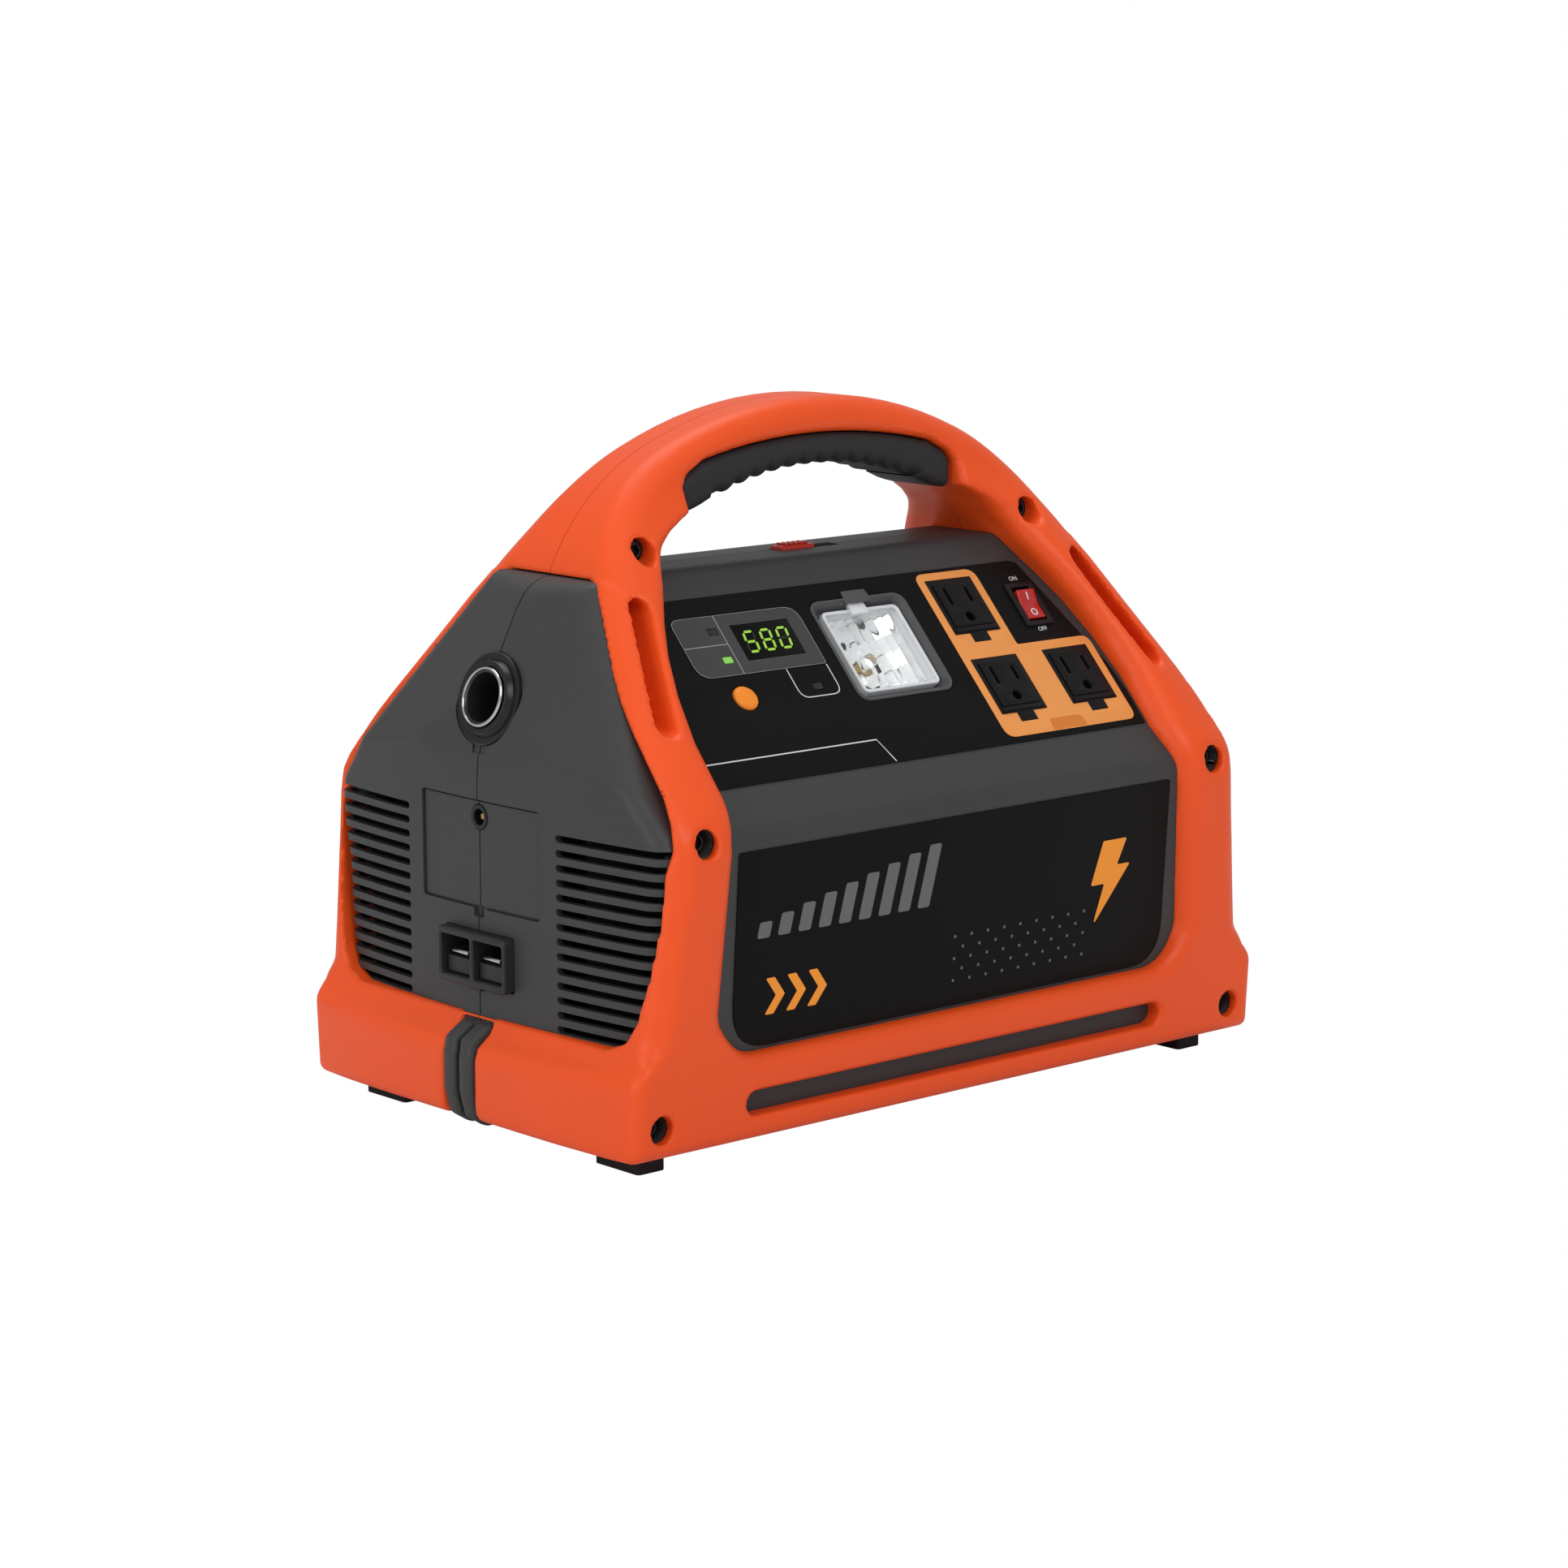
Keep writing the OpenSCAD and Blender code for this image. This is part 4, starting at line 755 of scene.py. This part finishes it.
milky = {"Subsurface Weight": 0.15, "Subsurface Scale": 0.002}
orange_rubber = moulded("orange_rubber", (240, 138, 36), 0.4, grain=0.3, size=0.0006, spread=0.05, extra=milky)
cap = [(0, 2.0), (2.5, 1.95), (4.3, 1.75), (5.4, 1.35), (5.95, 0.8), (6.1, 0.1)]
cap += [(6.1, -3.4), (1.6, -3.4), (1.6, -4.2), (0, -4.2)]
cap = lathe(cap, panel_point(*BUTTON))
piece_of("button_cap", cap, orange_rubber, ["display_button"], "button", crease=0.9)

# --------------------
# Mains outlets. Three black moulded outlet faces with blade slots, earth hole
# and a latch tab below, framed by a light orange printed plate.
outlet_black = moulded("outlet_black", (17, 17, 18), 0.36, grain=0.25, size=0.0006, spread=0.08, gloss=0.15)
for place, label in zip(OUTLETS, ("outlet_top", "outlet_left", "outlet_right")):
    spot = panel_point(*place)
    slots = [rounded(1.9, 9.2, 0.2, -6.35, 5), rounded(1.9, 7.4, 0.2, 6.35, 5)]
    slots.append(arc(0, -6.9, 2.6, -60, 240, 20))
    face = plate([outlet_loop()] + slots, -17.9, 1.2, spot, 0.35)
    raised = plate([rounded(23.4, 24.6, 1.2, 0, 0.6)] + slots, 1.0, 2.1, spot, 0.4)
    lip = soft([(-13.2, -14.4), (13.2, -14.4), (11.6, -12.0), (-11.6, -12.0)], 0.5)
    outlet = [face, raised, plate([lip], 1.0, 1.9, spot, 0.3)]
    piece_of(label + "_face", outlet, outlet_black, [label])

orange_print = moulded("orange_print", (226, 146, 76), 0.5, grain=0.2, size=0.0006, spread=0.05)
corners = [(124.7, -62), (79.9, -62), (79.9, -18.5), (42.9, -18.5), (42.9, -109.5), (124.7, -109.5)]
surround = plate([soft(corners, [5, 1.5, 6, 5, 6, 5], 7)] + outlet_cuts, 0.6, 1.0, PANEL, 0.12)
piece_of("outlet_plate", surround, orange_print, ["outlet_surround"])
deep_orange = moulded("deep_orange_print", (206, 118, 46), 0.5, grain=0.2, size=0.0006, spread=0.05)
tab = soft([(72, -109), (72.5, -103), (92.5, -103), (93, -109)], [0, 2.5, 2.5, 0])
piece_of("rating_tab", plate([tab], 0.95, 1.08, PANEL), deep_orange)

# --------------------
# Power switch. A snap-in black bezel and a glossy red rocker with a line and a
# ring on its two faces. The rocker tips on two pins.
switch_black = moulded("switch_black", (24, 24, 25), 0.34, grain=0.15, size=0.0006, spread=0.08, gloss=0.2)
switch_spot = panel_point(*ROCKER)
mouth = rounded(11.4, 19.0, 0.4)
bezel = plate([rounded(17.4, 23.8, 1.2), mouth], 0.55, 1.75, switch_spot, 0.35)
well = plate([rounded(14.4, 22, 0.4), mouth], -16, 0.7, switch_spot)
bottom = plate([rounded(12, 19.6, 0.4)], -16, -10, switch_spot)
piece_of("switch_bezel", [bezel, well, bottom], switch_black, ["rocker_housing"])

milky = {"Subsurface Weight": 0.1, "Subsurface Scale": 0.003}
red = moulded("red_rocker", (176, 22, 22), 0.14, grain=0.03, size=0.001, spread=0.05, coat=0.6, extra=milky)
tip = switch_spot @ Matrix.Translation((0, 0, -0.002)) @ Matrix.Rotation(math.radians(8), 4, "X")
turned = tip @ Matrix(((0, 0, 1, 0), (1, 0, 0, 0), (0, 1, 0, 0), (0, 0, 0, 1)))
half = 9.2 / math.cos(math.radians(8))
corners = [(-half + 1.6, 4.8), (0, 3.6), (half - 1.6, 4.8), (half - 2.2, -1)]
corners += [(2, -4.6), (-2, -4.6), (-half + 2.2, -1)]
wings = plate([soft(corners, [0.8, 3, 0.8, 0.5, 1, 1, 0.5], 4)], -5.4, 5.4, turned, 0.35)
sideways = tip @ Matrix.Rotation(math.radians(90), 4, "Y")
pins = lathe([(0, -6.4), (1.2, -6.4), (1.2, 6.4), (0, 6.4)], sideways, 20)
piece_of("rocker", [wings, pins], red, ["power_rocker"], "rocker")
signs = []
slope = math.atan2(1.2, half - 1.6)
for sign, loops in ((1, [rounded(0.75, 3.8, 0.3)]), (-1, [disc(1.9), disc(1.25)])):
    spot = tip @ Matrix.Translation((0, sign * 0.0042, 0.00427)) @ Matrix.Rotation(sign * slope, 4, "X")
    signs.append(plate(loops, -0.1, 0.07, spot))
piece_of("rocker_signs", signs, white_ink, (), "rocker")

# --------------------
# Emergency lamp. A dark grey recess with sloping walls holds a faceted bright
# reflector, a small bulb and a clear fluted lens kept by a clip at the top.


def loft(rings, place):
    """Skin through loops of (x, y), each at its own height."""
    return ring_skin([[(x, y, w) for x, y in loop] for loop, w in rings], place)


lamp_spot, lens_spot = panel_point(*LAMP), panel_point(*LENS)
recess_grey = moulded("recess_grey", (76, 77, 79), 0.4, grain=0.35, size=0.0008, spread=0.06)
lens_x, lens_y = LENS[0] - LAMP[0], LAMP[1] - LENS[1]
rings = [
    (rounded(56.8, 54.1, 6), -23),
    (rounded(56.8, 54.1, 6), 0.7),
    (rounded(56.2, 53.5, 5.8), 1.1),
    (rounded(54.6, 51.9, 5.4), 1.1),
    (rounded(53.8, 51.1, 5.2), 0.6),
    (rounded(48.2, 46.0, 4.0, lens_x - 0.4, lens_y + 0.2), -4.6),
    (rounded(46.8, 44.8, 3.4, lens_x, lens_y), -5.0),
    (rounded(46.6, 44.6, 3.2, lens_x, lens_y), -20),
    (rounded(10, 10, 4.8), -20.2),
    (rounded(9.8, 9.8, 4.8), -23),
    (rounded(56.8, 54.1, 6), -23),
]
tab = soft([(-8, 24), (-7, 30.6), (7, 30.6), (8, 24)], [0, 1.2, 1.2, 0])
notch = plate([tab], 0.6, 1.12, panel_point(LAMP[0] + 1, LAMP[1]), 0.2)
piece_of("lamp_recess", [loft(rings, lamp_spot), notch], recess_grey, ["lamp_housing"])

bright_metal = moulded("bright_metal", (252, 252, 253), 0.25, grain=0.05, size=0.0012, spread=0.02, metallic=0.5)
shape = bmesh.new()
rng = np.random.default_rng(5)
columns, rows = 6, 5
tilt = rng.uniform(-1, 1, (columns, rows, 2))
for i in range(columns):
    for j in range(rows):
        x0, x1 = -21.4 + 42.8 * i / columns, -21.4 + 42.8 * (i + 1) / columns
        y0, y1 = -20.4 + 40.8 * j / rows, -20.4 + 40.8 * (j + 1) / rows
        mx, my = (x0 + x1) / 2, (y0 + y1) / 2
        corners = []
        for x, y in ((x0, y0), (x1, y0), (x1, y1), (x0, y1)):
            dish = -18.5 + 0.0116 * (x * x + y * y)
            lean = tilt[i, j, 0] * (x - mx) + tilt[i, j, 1] * (y - my)
            corners.append((x, y, min(-8.6, dish + 0.28 * lean)))
        if math.hypot(mx, my) > 5.2:
            shape.faces.new([shape.verts.new([c * 0.001 for c in corner]) for corner in corners])
facets = bpy.data.meshes.new("facets")
shape.to_mesh(facets)
shape.free()
facets.transform(lens_spot)
rings = [
    (rounded(45.6, 43.6, 3), -9.1),
    (rounded(43.6, 41.6, 2.4), -9.3),
    (rounded(42.6, 40.6, 2), -16.5),
    (rounded(36, 34, 2), -19.4),
]
collar = lathe([(4.9, -20), (4.9, -17.6), (6.2, -17.0), (6.6, -17.6), (6.6, -20)], lamp_spot, 32)
reflector = [facets, loft(rings, lens_spot), collar]
piece_of("reflector", reflector, bright_metal, ["lamp_reflector"], crease=0.3)

see_through = {"Transmission Weight": 0.9, "IOR": 1.45}
lamp_glass = moulded("lamp_glass", (250, 250, 244), 0.05, grain=0.02, size=0.002, spread=0.02, extra=see_through)
bulb = [(0, -8.8), (1.5, -9.1), (2.7, -10.1), (3.3, -11.6), (3.3, -13.2)]
bulb += [(2.8, -14.8), (2.4, -15.8), (2.4, -17.2), (0, -17.2)]
bulb = lathe(bulb, lamp_spot, 32)
piece_of("bulb", bulb, lamp_glass, ["lamp_bulb"], crease=1.2)
brass = moulded("bulb_brass", (196, 168, 110), 0.3, grain=0.1, size=0.0008, spread=0.08, metallic=1.0)
base = [(0, -17), (2.8, -17), (2.9, -17.4), (4.3, -17.6), (4.4, -23), (0, -23)]
piece_of("bulb_base", lathe(base, lamp_spot, 32), brass)


def by_ray(tree, ray, others, special, output):
    """Gives one shader to a kind of ray and the other shader to all others."""
    rays = tree.nodes.new("ShaderNodeLightPath")
    mix = shade(tree, "MixShader", {"Fac": rays.outputs[ray], 1: others, 2: special})
    tree.links.new(mix.outputs["Shader"], tree.nodes[output].inputs["Surface"])


see_through = {"Transmission Weight": 1.0, "IOR": 1.49}
clear = moulded("clear_lens", (250, 252, 252), 0.04, grain=0.02, size=0.003, spread=0.01, extra=see_through)
tree = clear.node_tree
glass = tree.nodes["Principled BSDF"].outputs["BSDF"]
by_ray(tree, "Is Shadow Ray", glass, shade(tree, "BsdfTransparent", {}).outputs["BSDF"], "Material Output")
shape = bmesh.new()
nu, nv = 92, 44
top_skin, low_skin = [], []
for j in range(nv + 1):
    for i in range(nu + 1):
        x, y = -22.4 + 44.8 * i / nu, -21.4 + 42.8 * j / nv
        crown = 0.7 * (1 - (x / 22.4) ** 4) * (1 - (y / 21.4) ** 4)
        flute = 0.2 * abs(math.sin(math.pi * (x + 22.4) / 5.6))
        top_skin.append(shape.verts.new((x / 1000, y / 1000, (-2.6 + crown) / 1000)))
        low_skin.append(shape.verts.new((x / 1000, y / 1000, (-4.4 + crown - flute) / 1000)))
for j in range(nv):
    for i in range(nu):
        a = j * (nu + 1) + i
        around = (a, a + 1, a + nu + 2, a + nu + 1)
        shape.faces.new([top_skin[k] for k in around])
        shape.faces.new([low_skin[k] for k in around[::-1]])
edge_loop = list(range(nu)) + [j * (nu + 1) + nu for j in range(nv)]
edge_loop += [nv * (nu + 1) + nu - i for i in range(nu)] + [(nv - j) * (nu + 1) for j in range(nv)]
for k, a in enumerate(edge_loop):
    b = edge_loop[(k + 1) % len(edge_loop)]
    shape.faces.new([low_skin[a], low_skin[b], top_skin[b], top_skin[a]])
pane = bpy.data.meshes.new("pane")
shape.to_mesh(pane)
shape.free()
pane.transform(lens_spot)
piece_of("lens_pane", pane, clear, ["lamp_lens"], crease=1.2)
rim = plate([rounded(46, 44, 3), rounded(42.6, 40.6, 1.8)], -9, -1.7, lens_spot, 0.4)
cloudy = {"Transmission Weight": 0.2, "IOR": 1.49}
rim_clear = moulded(
    "clear_rim", (238, 240, 242), 0.12, grain=0.03, size=0.002, spread=0.03, gloss=0.5, extra=cloudy
)
clip = soft([(-5.2, 18.5), (-4.6, 25.4), (4.6, 25.4), (5.2, 18.5)], [0.5, 1.4, 1.4, 0.5])
clip = plate([clip], -3.2, -0.6, panel_point(LENS[0] - 1, LENS[1]), 0.5)
piece_of("lens_rim", [rim, clip], rim_clear)

# --------------------
# Lamp slider. A red thumb slide with five grip ridges in a slot in the top,
# over its switch, which sits under the shell.
slide_red = moulded("slide_red", (190, 42, 30), 0.3, grain=0.2, size=0.0006, spread=0.05, coat=0.2)
spot = Matrix.Translation((0.001, 0, 0))
slide = [plate([rounded(20, 8, 0.8)], 235.9, 242.2, spot, 0.4)]
slide += [plate([rounded(1.3, 7.2, 0.5, x, 0)], 241.9, 243.2, spot, 0.4) for x in (-6, -3, 0, 3, 6)]
slide.append(plate([rounded(4, 3, 0.3)], 232.9, 236.1, spot))
piece_of("slide_knob", slide, slide_red, ["lamp_slider"], "slider")

# --------------------
# 12 V socket. A stepped black bezel pressed into the sloping end around a
# bright rolled sleeve, with the plated centre contact at the bottom.
socket_black = moulded("socket_black", (24, 24, 25), 0.3, grain=0.15, size=0.0006, spread=0.08)
ring = [(12.25, -8.4), (15.1, -8.4), (15.1, -2.4), (20.3, -2.4), (20.3, -0.9), (19.8, -0.4)]
ring += [(17.4, -0.4), (16.9, -0.6), (16.5, -0.2), (16.2, 1.3), (15.7, 1.9), (14.4, 2.0)]
ring += [(13.6, 1.7), (12.9, 1.2), (12.25, 0.6), (12.25, -8.4)]
piece_of("socket_ring", lathe(ring, SOCKET, 96), socket_black, ["socket_bezel"], crease=0.7)
sleeve_metal = moulded("sleeve_metal", (205, 206, 210), 0.16, grain=0.08, size=0.001, spread=0.04, metallic=1.0)
lip = [(11.8, 0.9), (11.8, 2.8), (12.0, 3.1), (12.4, 3.2), (12.8, 3.1), (13.05, 2.8)]
lip += [(13.1, 2.3), (12.8, 2.1), (12.1, 2.1), (12.1, 0.9), (11.8, 0.9)]
piece_of("socket_lip", lathe(lip, SOCKET, 96), sleeve_metal)
dark_metal = moulded("dark_sleeve", (58, 58, 60), 0.35, grain=0.1, size=0.001, spread=0.1, metallic=0.8)
tube = [(11.75, 2.6), (10.9, 2.2), (10.6, 1.4), (10.6, -38), (4, -38), (4, -40)]
tube += [(12.1, -40), (12.1, 0.85), (11.75, 0.85), (11.75, 2.6)]
piece_of("socket_tube", lathe(tube, SOCKET, 96), dark_metal, ["socket_shell"], crease=0.7)

# --------------------
# Charging jack in the label recess, its centre pin, and the jumper lead
# connector: a black collar with two bays, each with a silver contact.
jack_spot = LEFT_END @ Matrix.Translation((0, 0.140, 0))
jack = [(3.5, -12), (3.5, -0.9), (3.9, -0.5), (5.1, -0.5), (5.5, -0.9)]
jack = lathe(jack + [(5.5, -15), (0, -15), (0, -12), (3.5, -12)], jack_spot, 40)
piece_of("jack_barrel", jack, socket_black, ["charging_jack"], crease=0.7)
collar_spot = LEFT_END @ Matrix.Translation((0, 0.0785, 0))
bays = (-11.2, 11.2)
block = [rounded(47, 24, 2.2)] + [rounded(20, 17.2, 1, x, 0) for x in bays]
collar = [plate(block, -24, 5, collar_spot, 0.9)]
collar += [plate([rounded(16.6, 7.2, 0.6, x, -4.6)], -24, 2.2, collar_spot, 0.4) for x in bays]
collar.append(plate([rounded(46, 23, 1)], -29, -23.9, collar_spot))
collar.append(plate([rounded(9, 2.2, 0.6, 0, -12.6)], -1, 3.2, collar_spot, 0.4))
connector_black = moulded("connector_black", (36, 36, 38), 0.4, grain=0.25, size=0.0007, spread=0.08)
piece_of("connector_collar", collar, connector_black, ["connector_housing"])
contact_metal = moulded("contact_metal", (214, 215, 218), 0.2, grain=0.1, size=0.0008, spread=0.05, metallic=1.0)
section = [(1.8, 0.3), (2.4, 1.2), (1.4, 2.2), (-2, 2.5), (-24, 2.5), (-24, 0.2), (-2, 0.2)]
blades = []
for x in bays:
    across = collar_spot @ Matrix(((0, 0, 1, x / 1000), (0, 1, 0, 0), (1, 0, 0, 0), (0, 0, 0, 1)))
    blades.append(plate([soft(section, 0.4, 3)], -5.5, 5.5, across, 0.15))
piece_of("connector_blades", blades, contact_metal, ["connector_contacts"])

# --------------------
# Face film. Black printed film over the lower front between the legs, with a
# plain pattern in grey and orange: rising bars, dots, a bolt and chevrons.
top_v, low_v, half_w = 134.6, 48.6, 129.5
face_loop = soft([(half_w, low_v), (half_w, top_v), (-half_w, top_v), (-half_w, low_v)], [20, 1.5, 1.5, 20], 8)
piece_of("face_film", plate([face_loop], *FILM, FACE, 0.12), film, ["face_label"])
bar_grey = moulded("grey_ink", (96, 97, 100), 0.5, grain=0.15, size=0.0006, spread=0.06)
bars = []
for k in range(9):
    x0, y0, h = -118 + 11.5 * k, 96.0, 7 + 2.6 * k
    bar = [(x0, y0), (x0 + 7, y0), (x0 + 7 + h * 0.22, y0 + h), (x0 + h * 0.22, y0 + h)]
    bars.append(plate([soft(bar, 1.2, 3)], 0.55, 0.7, FACE))
dots = [(-2 + 5.0 * i, 60 + 5.0 * j) for i in range(17) for j in range(i % 2, 5, 2)]
bars += [plate([rounded(1.3, 1.3, 0.3, x, y)], 0.55, 0.66, FACE) for x, y in dots]
piece_of("face_bars", bars, bar_grey)
bolt = [(88, 111), (103, 111), (97.5, 99), (106, 99), (84, 72), (90, 91), (81.5, 91)]
marks = [plate([soft(bolt, 0.8, 3)], *INK, FACE)]
for k in range(3):
    x0 = -112 + 12 * k
    chevron = [(x0, 62), (x0 + 5, 62), (x0 + 11, 70), (x0 + 5, 78), (x0, 78), (x0 + 6, 70)]
    marks.append(plate([soft(chevron, 0.6, 3)], *INK, FACE))
orange_ink = moulded("orange_ink", (238, 146, 44), 0.5, grain=0.15, size=0.0006, spread=0.04)
piece_of("face_marks", marks, orange_ink)

# --------------------
# Inner pieces. Battery, leads, fuse, inverter board and fan keep their built
# shapes and only take their finishes here.
contacts = ("outlet_contacts", "socket_contact", "charging_pin", "battery_terminals")
finishes = [
    ("brass_strip", (200, 170, 105), 0.3, 1.0, contacts),
    ("board_green", (28, 84, 44), 0.4, 0.0, ("display_board", "inverter_board")),
    ("switch_dark", (46, 46, 50), 0.4, 0.0, ("tact_switch", "slider_switch")),
    ("battery_case", (52, 56, 66), 0.45, 0.0, ("battery",)),
    ("pad_foam", (44, 44, 44), 0.9, 0.0, ("battery_pads",)),
    ("zinc_strap", (170, 172, 178), 0.35, 1.0, ("battery_strap",)),
    ("red_cable", (168, 26, 24), 0.4, 0.0, ("positive_lead", "fuse_lead")),
    ("black_cable", (30, 30, 30), 0.4, 0.0, ("negative_lead",)),
    ("fuse_amber", (206, 160, 50), 0.3, 0.0, ("main_fuse",)),
    ("winding_tape", (196, 160, 82), 0.5, 0.0, ("transformers",)),
    ("sink_metal", (190, 192, 196), 0.35, 1.0, ("heat_sinks",)),
    ("sleeve_blue", (34, 50, 92), 0.25, 0.0, ("capacitors",)),
    ("fan_black", (34, 34, 36), 0.45, 0.0, ("fan_housing", "fan_rotor")),
]
for name, colour, rough, metallic, nodes in finishes:
    finish = moulded(name, colour, rough, grain=0.3, size=0.0008, spread=0.1, metallic=metallic)
    for node in nodes:
        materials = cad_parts[node].data.materials
        for k in range(len(materials)):
            materials[k] = finish
        if not materials:
            materials.append(finish)

# --------------------
# Floor, light and camera. A matt floor and surround that the camera sees as
# plain white, with three round lights above.
floor_mesh = bpy.data.meshes.new("floor")
floor_mesh.from_pydata([(-4, -4, 0), (4, -4, 0), (4, 4, 0), (-4, 4, 0)], [], [(0, 1, 2, 3)])
linked("floor", floor_mesh)
white = bpy.data.materials.new("floor_white")
white.use_nodes = True
tree = white.node_tree
matt = feed(tree, tree.nodes["Principled BSDF"], {"Base Color": (0.82, 0.82, 0.82, 1), "Roughness": 0.9})
glow = shade(tree, "Emission", {"Color": (1, 1, 1, 1)})
by_ray(tree, "Is Camera Ray", matt.outputs["BSDF"], glow.outputs["Emission"], "Material Output")
floor_mesh.materials.append(white)

world = bpy.data.worlds.new("studio")
bpy.context.scene.world = world
world.use_nodes = True
tree = world.node_tree
sky = feed(tree, tree.nodes["Background"], {"Color": (1, 1, 1, 1), "Strength": 0.5})
backdrop = shade(tree, "Background", {"Color": (1, 1, 1, 1)})
by_ray(tree, "Is Camera Ray", sky.outputs["Background"], backdrop.outputs["Background"], "World Output")


def area_light(name, place, aim, size, power):
    light = bpy.data.lights.new(name, "AREA")
    light.shape = "DISK"
    light.size = size
    light.energy = power
    lamp = linked(name, light)
    lamp.location = place
    lamp.rotation_euler = (Vector(aim) - Vector(place)).to_track_quat("-Z", "Y").to_euler()


area_light("key", (-0.5, -1.7, 1.5), (0, 0, 0.15), 1.2, 15)
area_light("fill", (-2.0, -0.2, 0.8), (0, 0, 0.15), 1.2, 11)
area_light("top", (0.3, 0.5, 2.0), (0, 0, 0.2), 1.4, 14)

camera = linked("camera", bpy.data.cameras.new("camera"))
camera.data.sensor_width = 36
camera.data.lens = 97.53
camera.data.clip_end = 50
eye, aim = Vector((-1.2602, -1.4214, 0.4762)), Vector((-0.04163, -0.04218, 0.14331))
camera.location = eye
roll = Matrix.Rotation(math.radians(-0.17), 3, "Z")
camera.rotation_euler = ((aim - eye).to_track_quat("-Z", "Y").to_matrix() @ roll).to_euler()
bpy.context.scene.camera = camera
bpy.context.scene.view_settings.view_transform = "Standard"
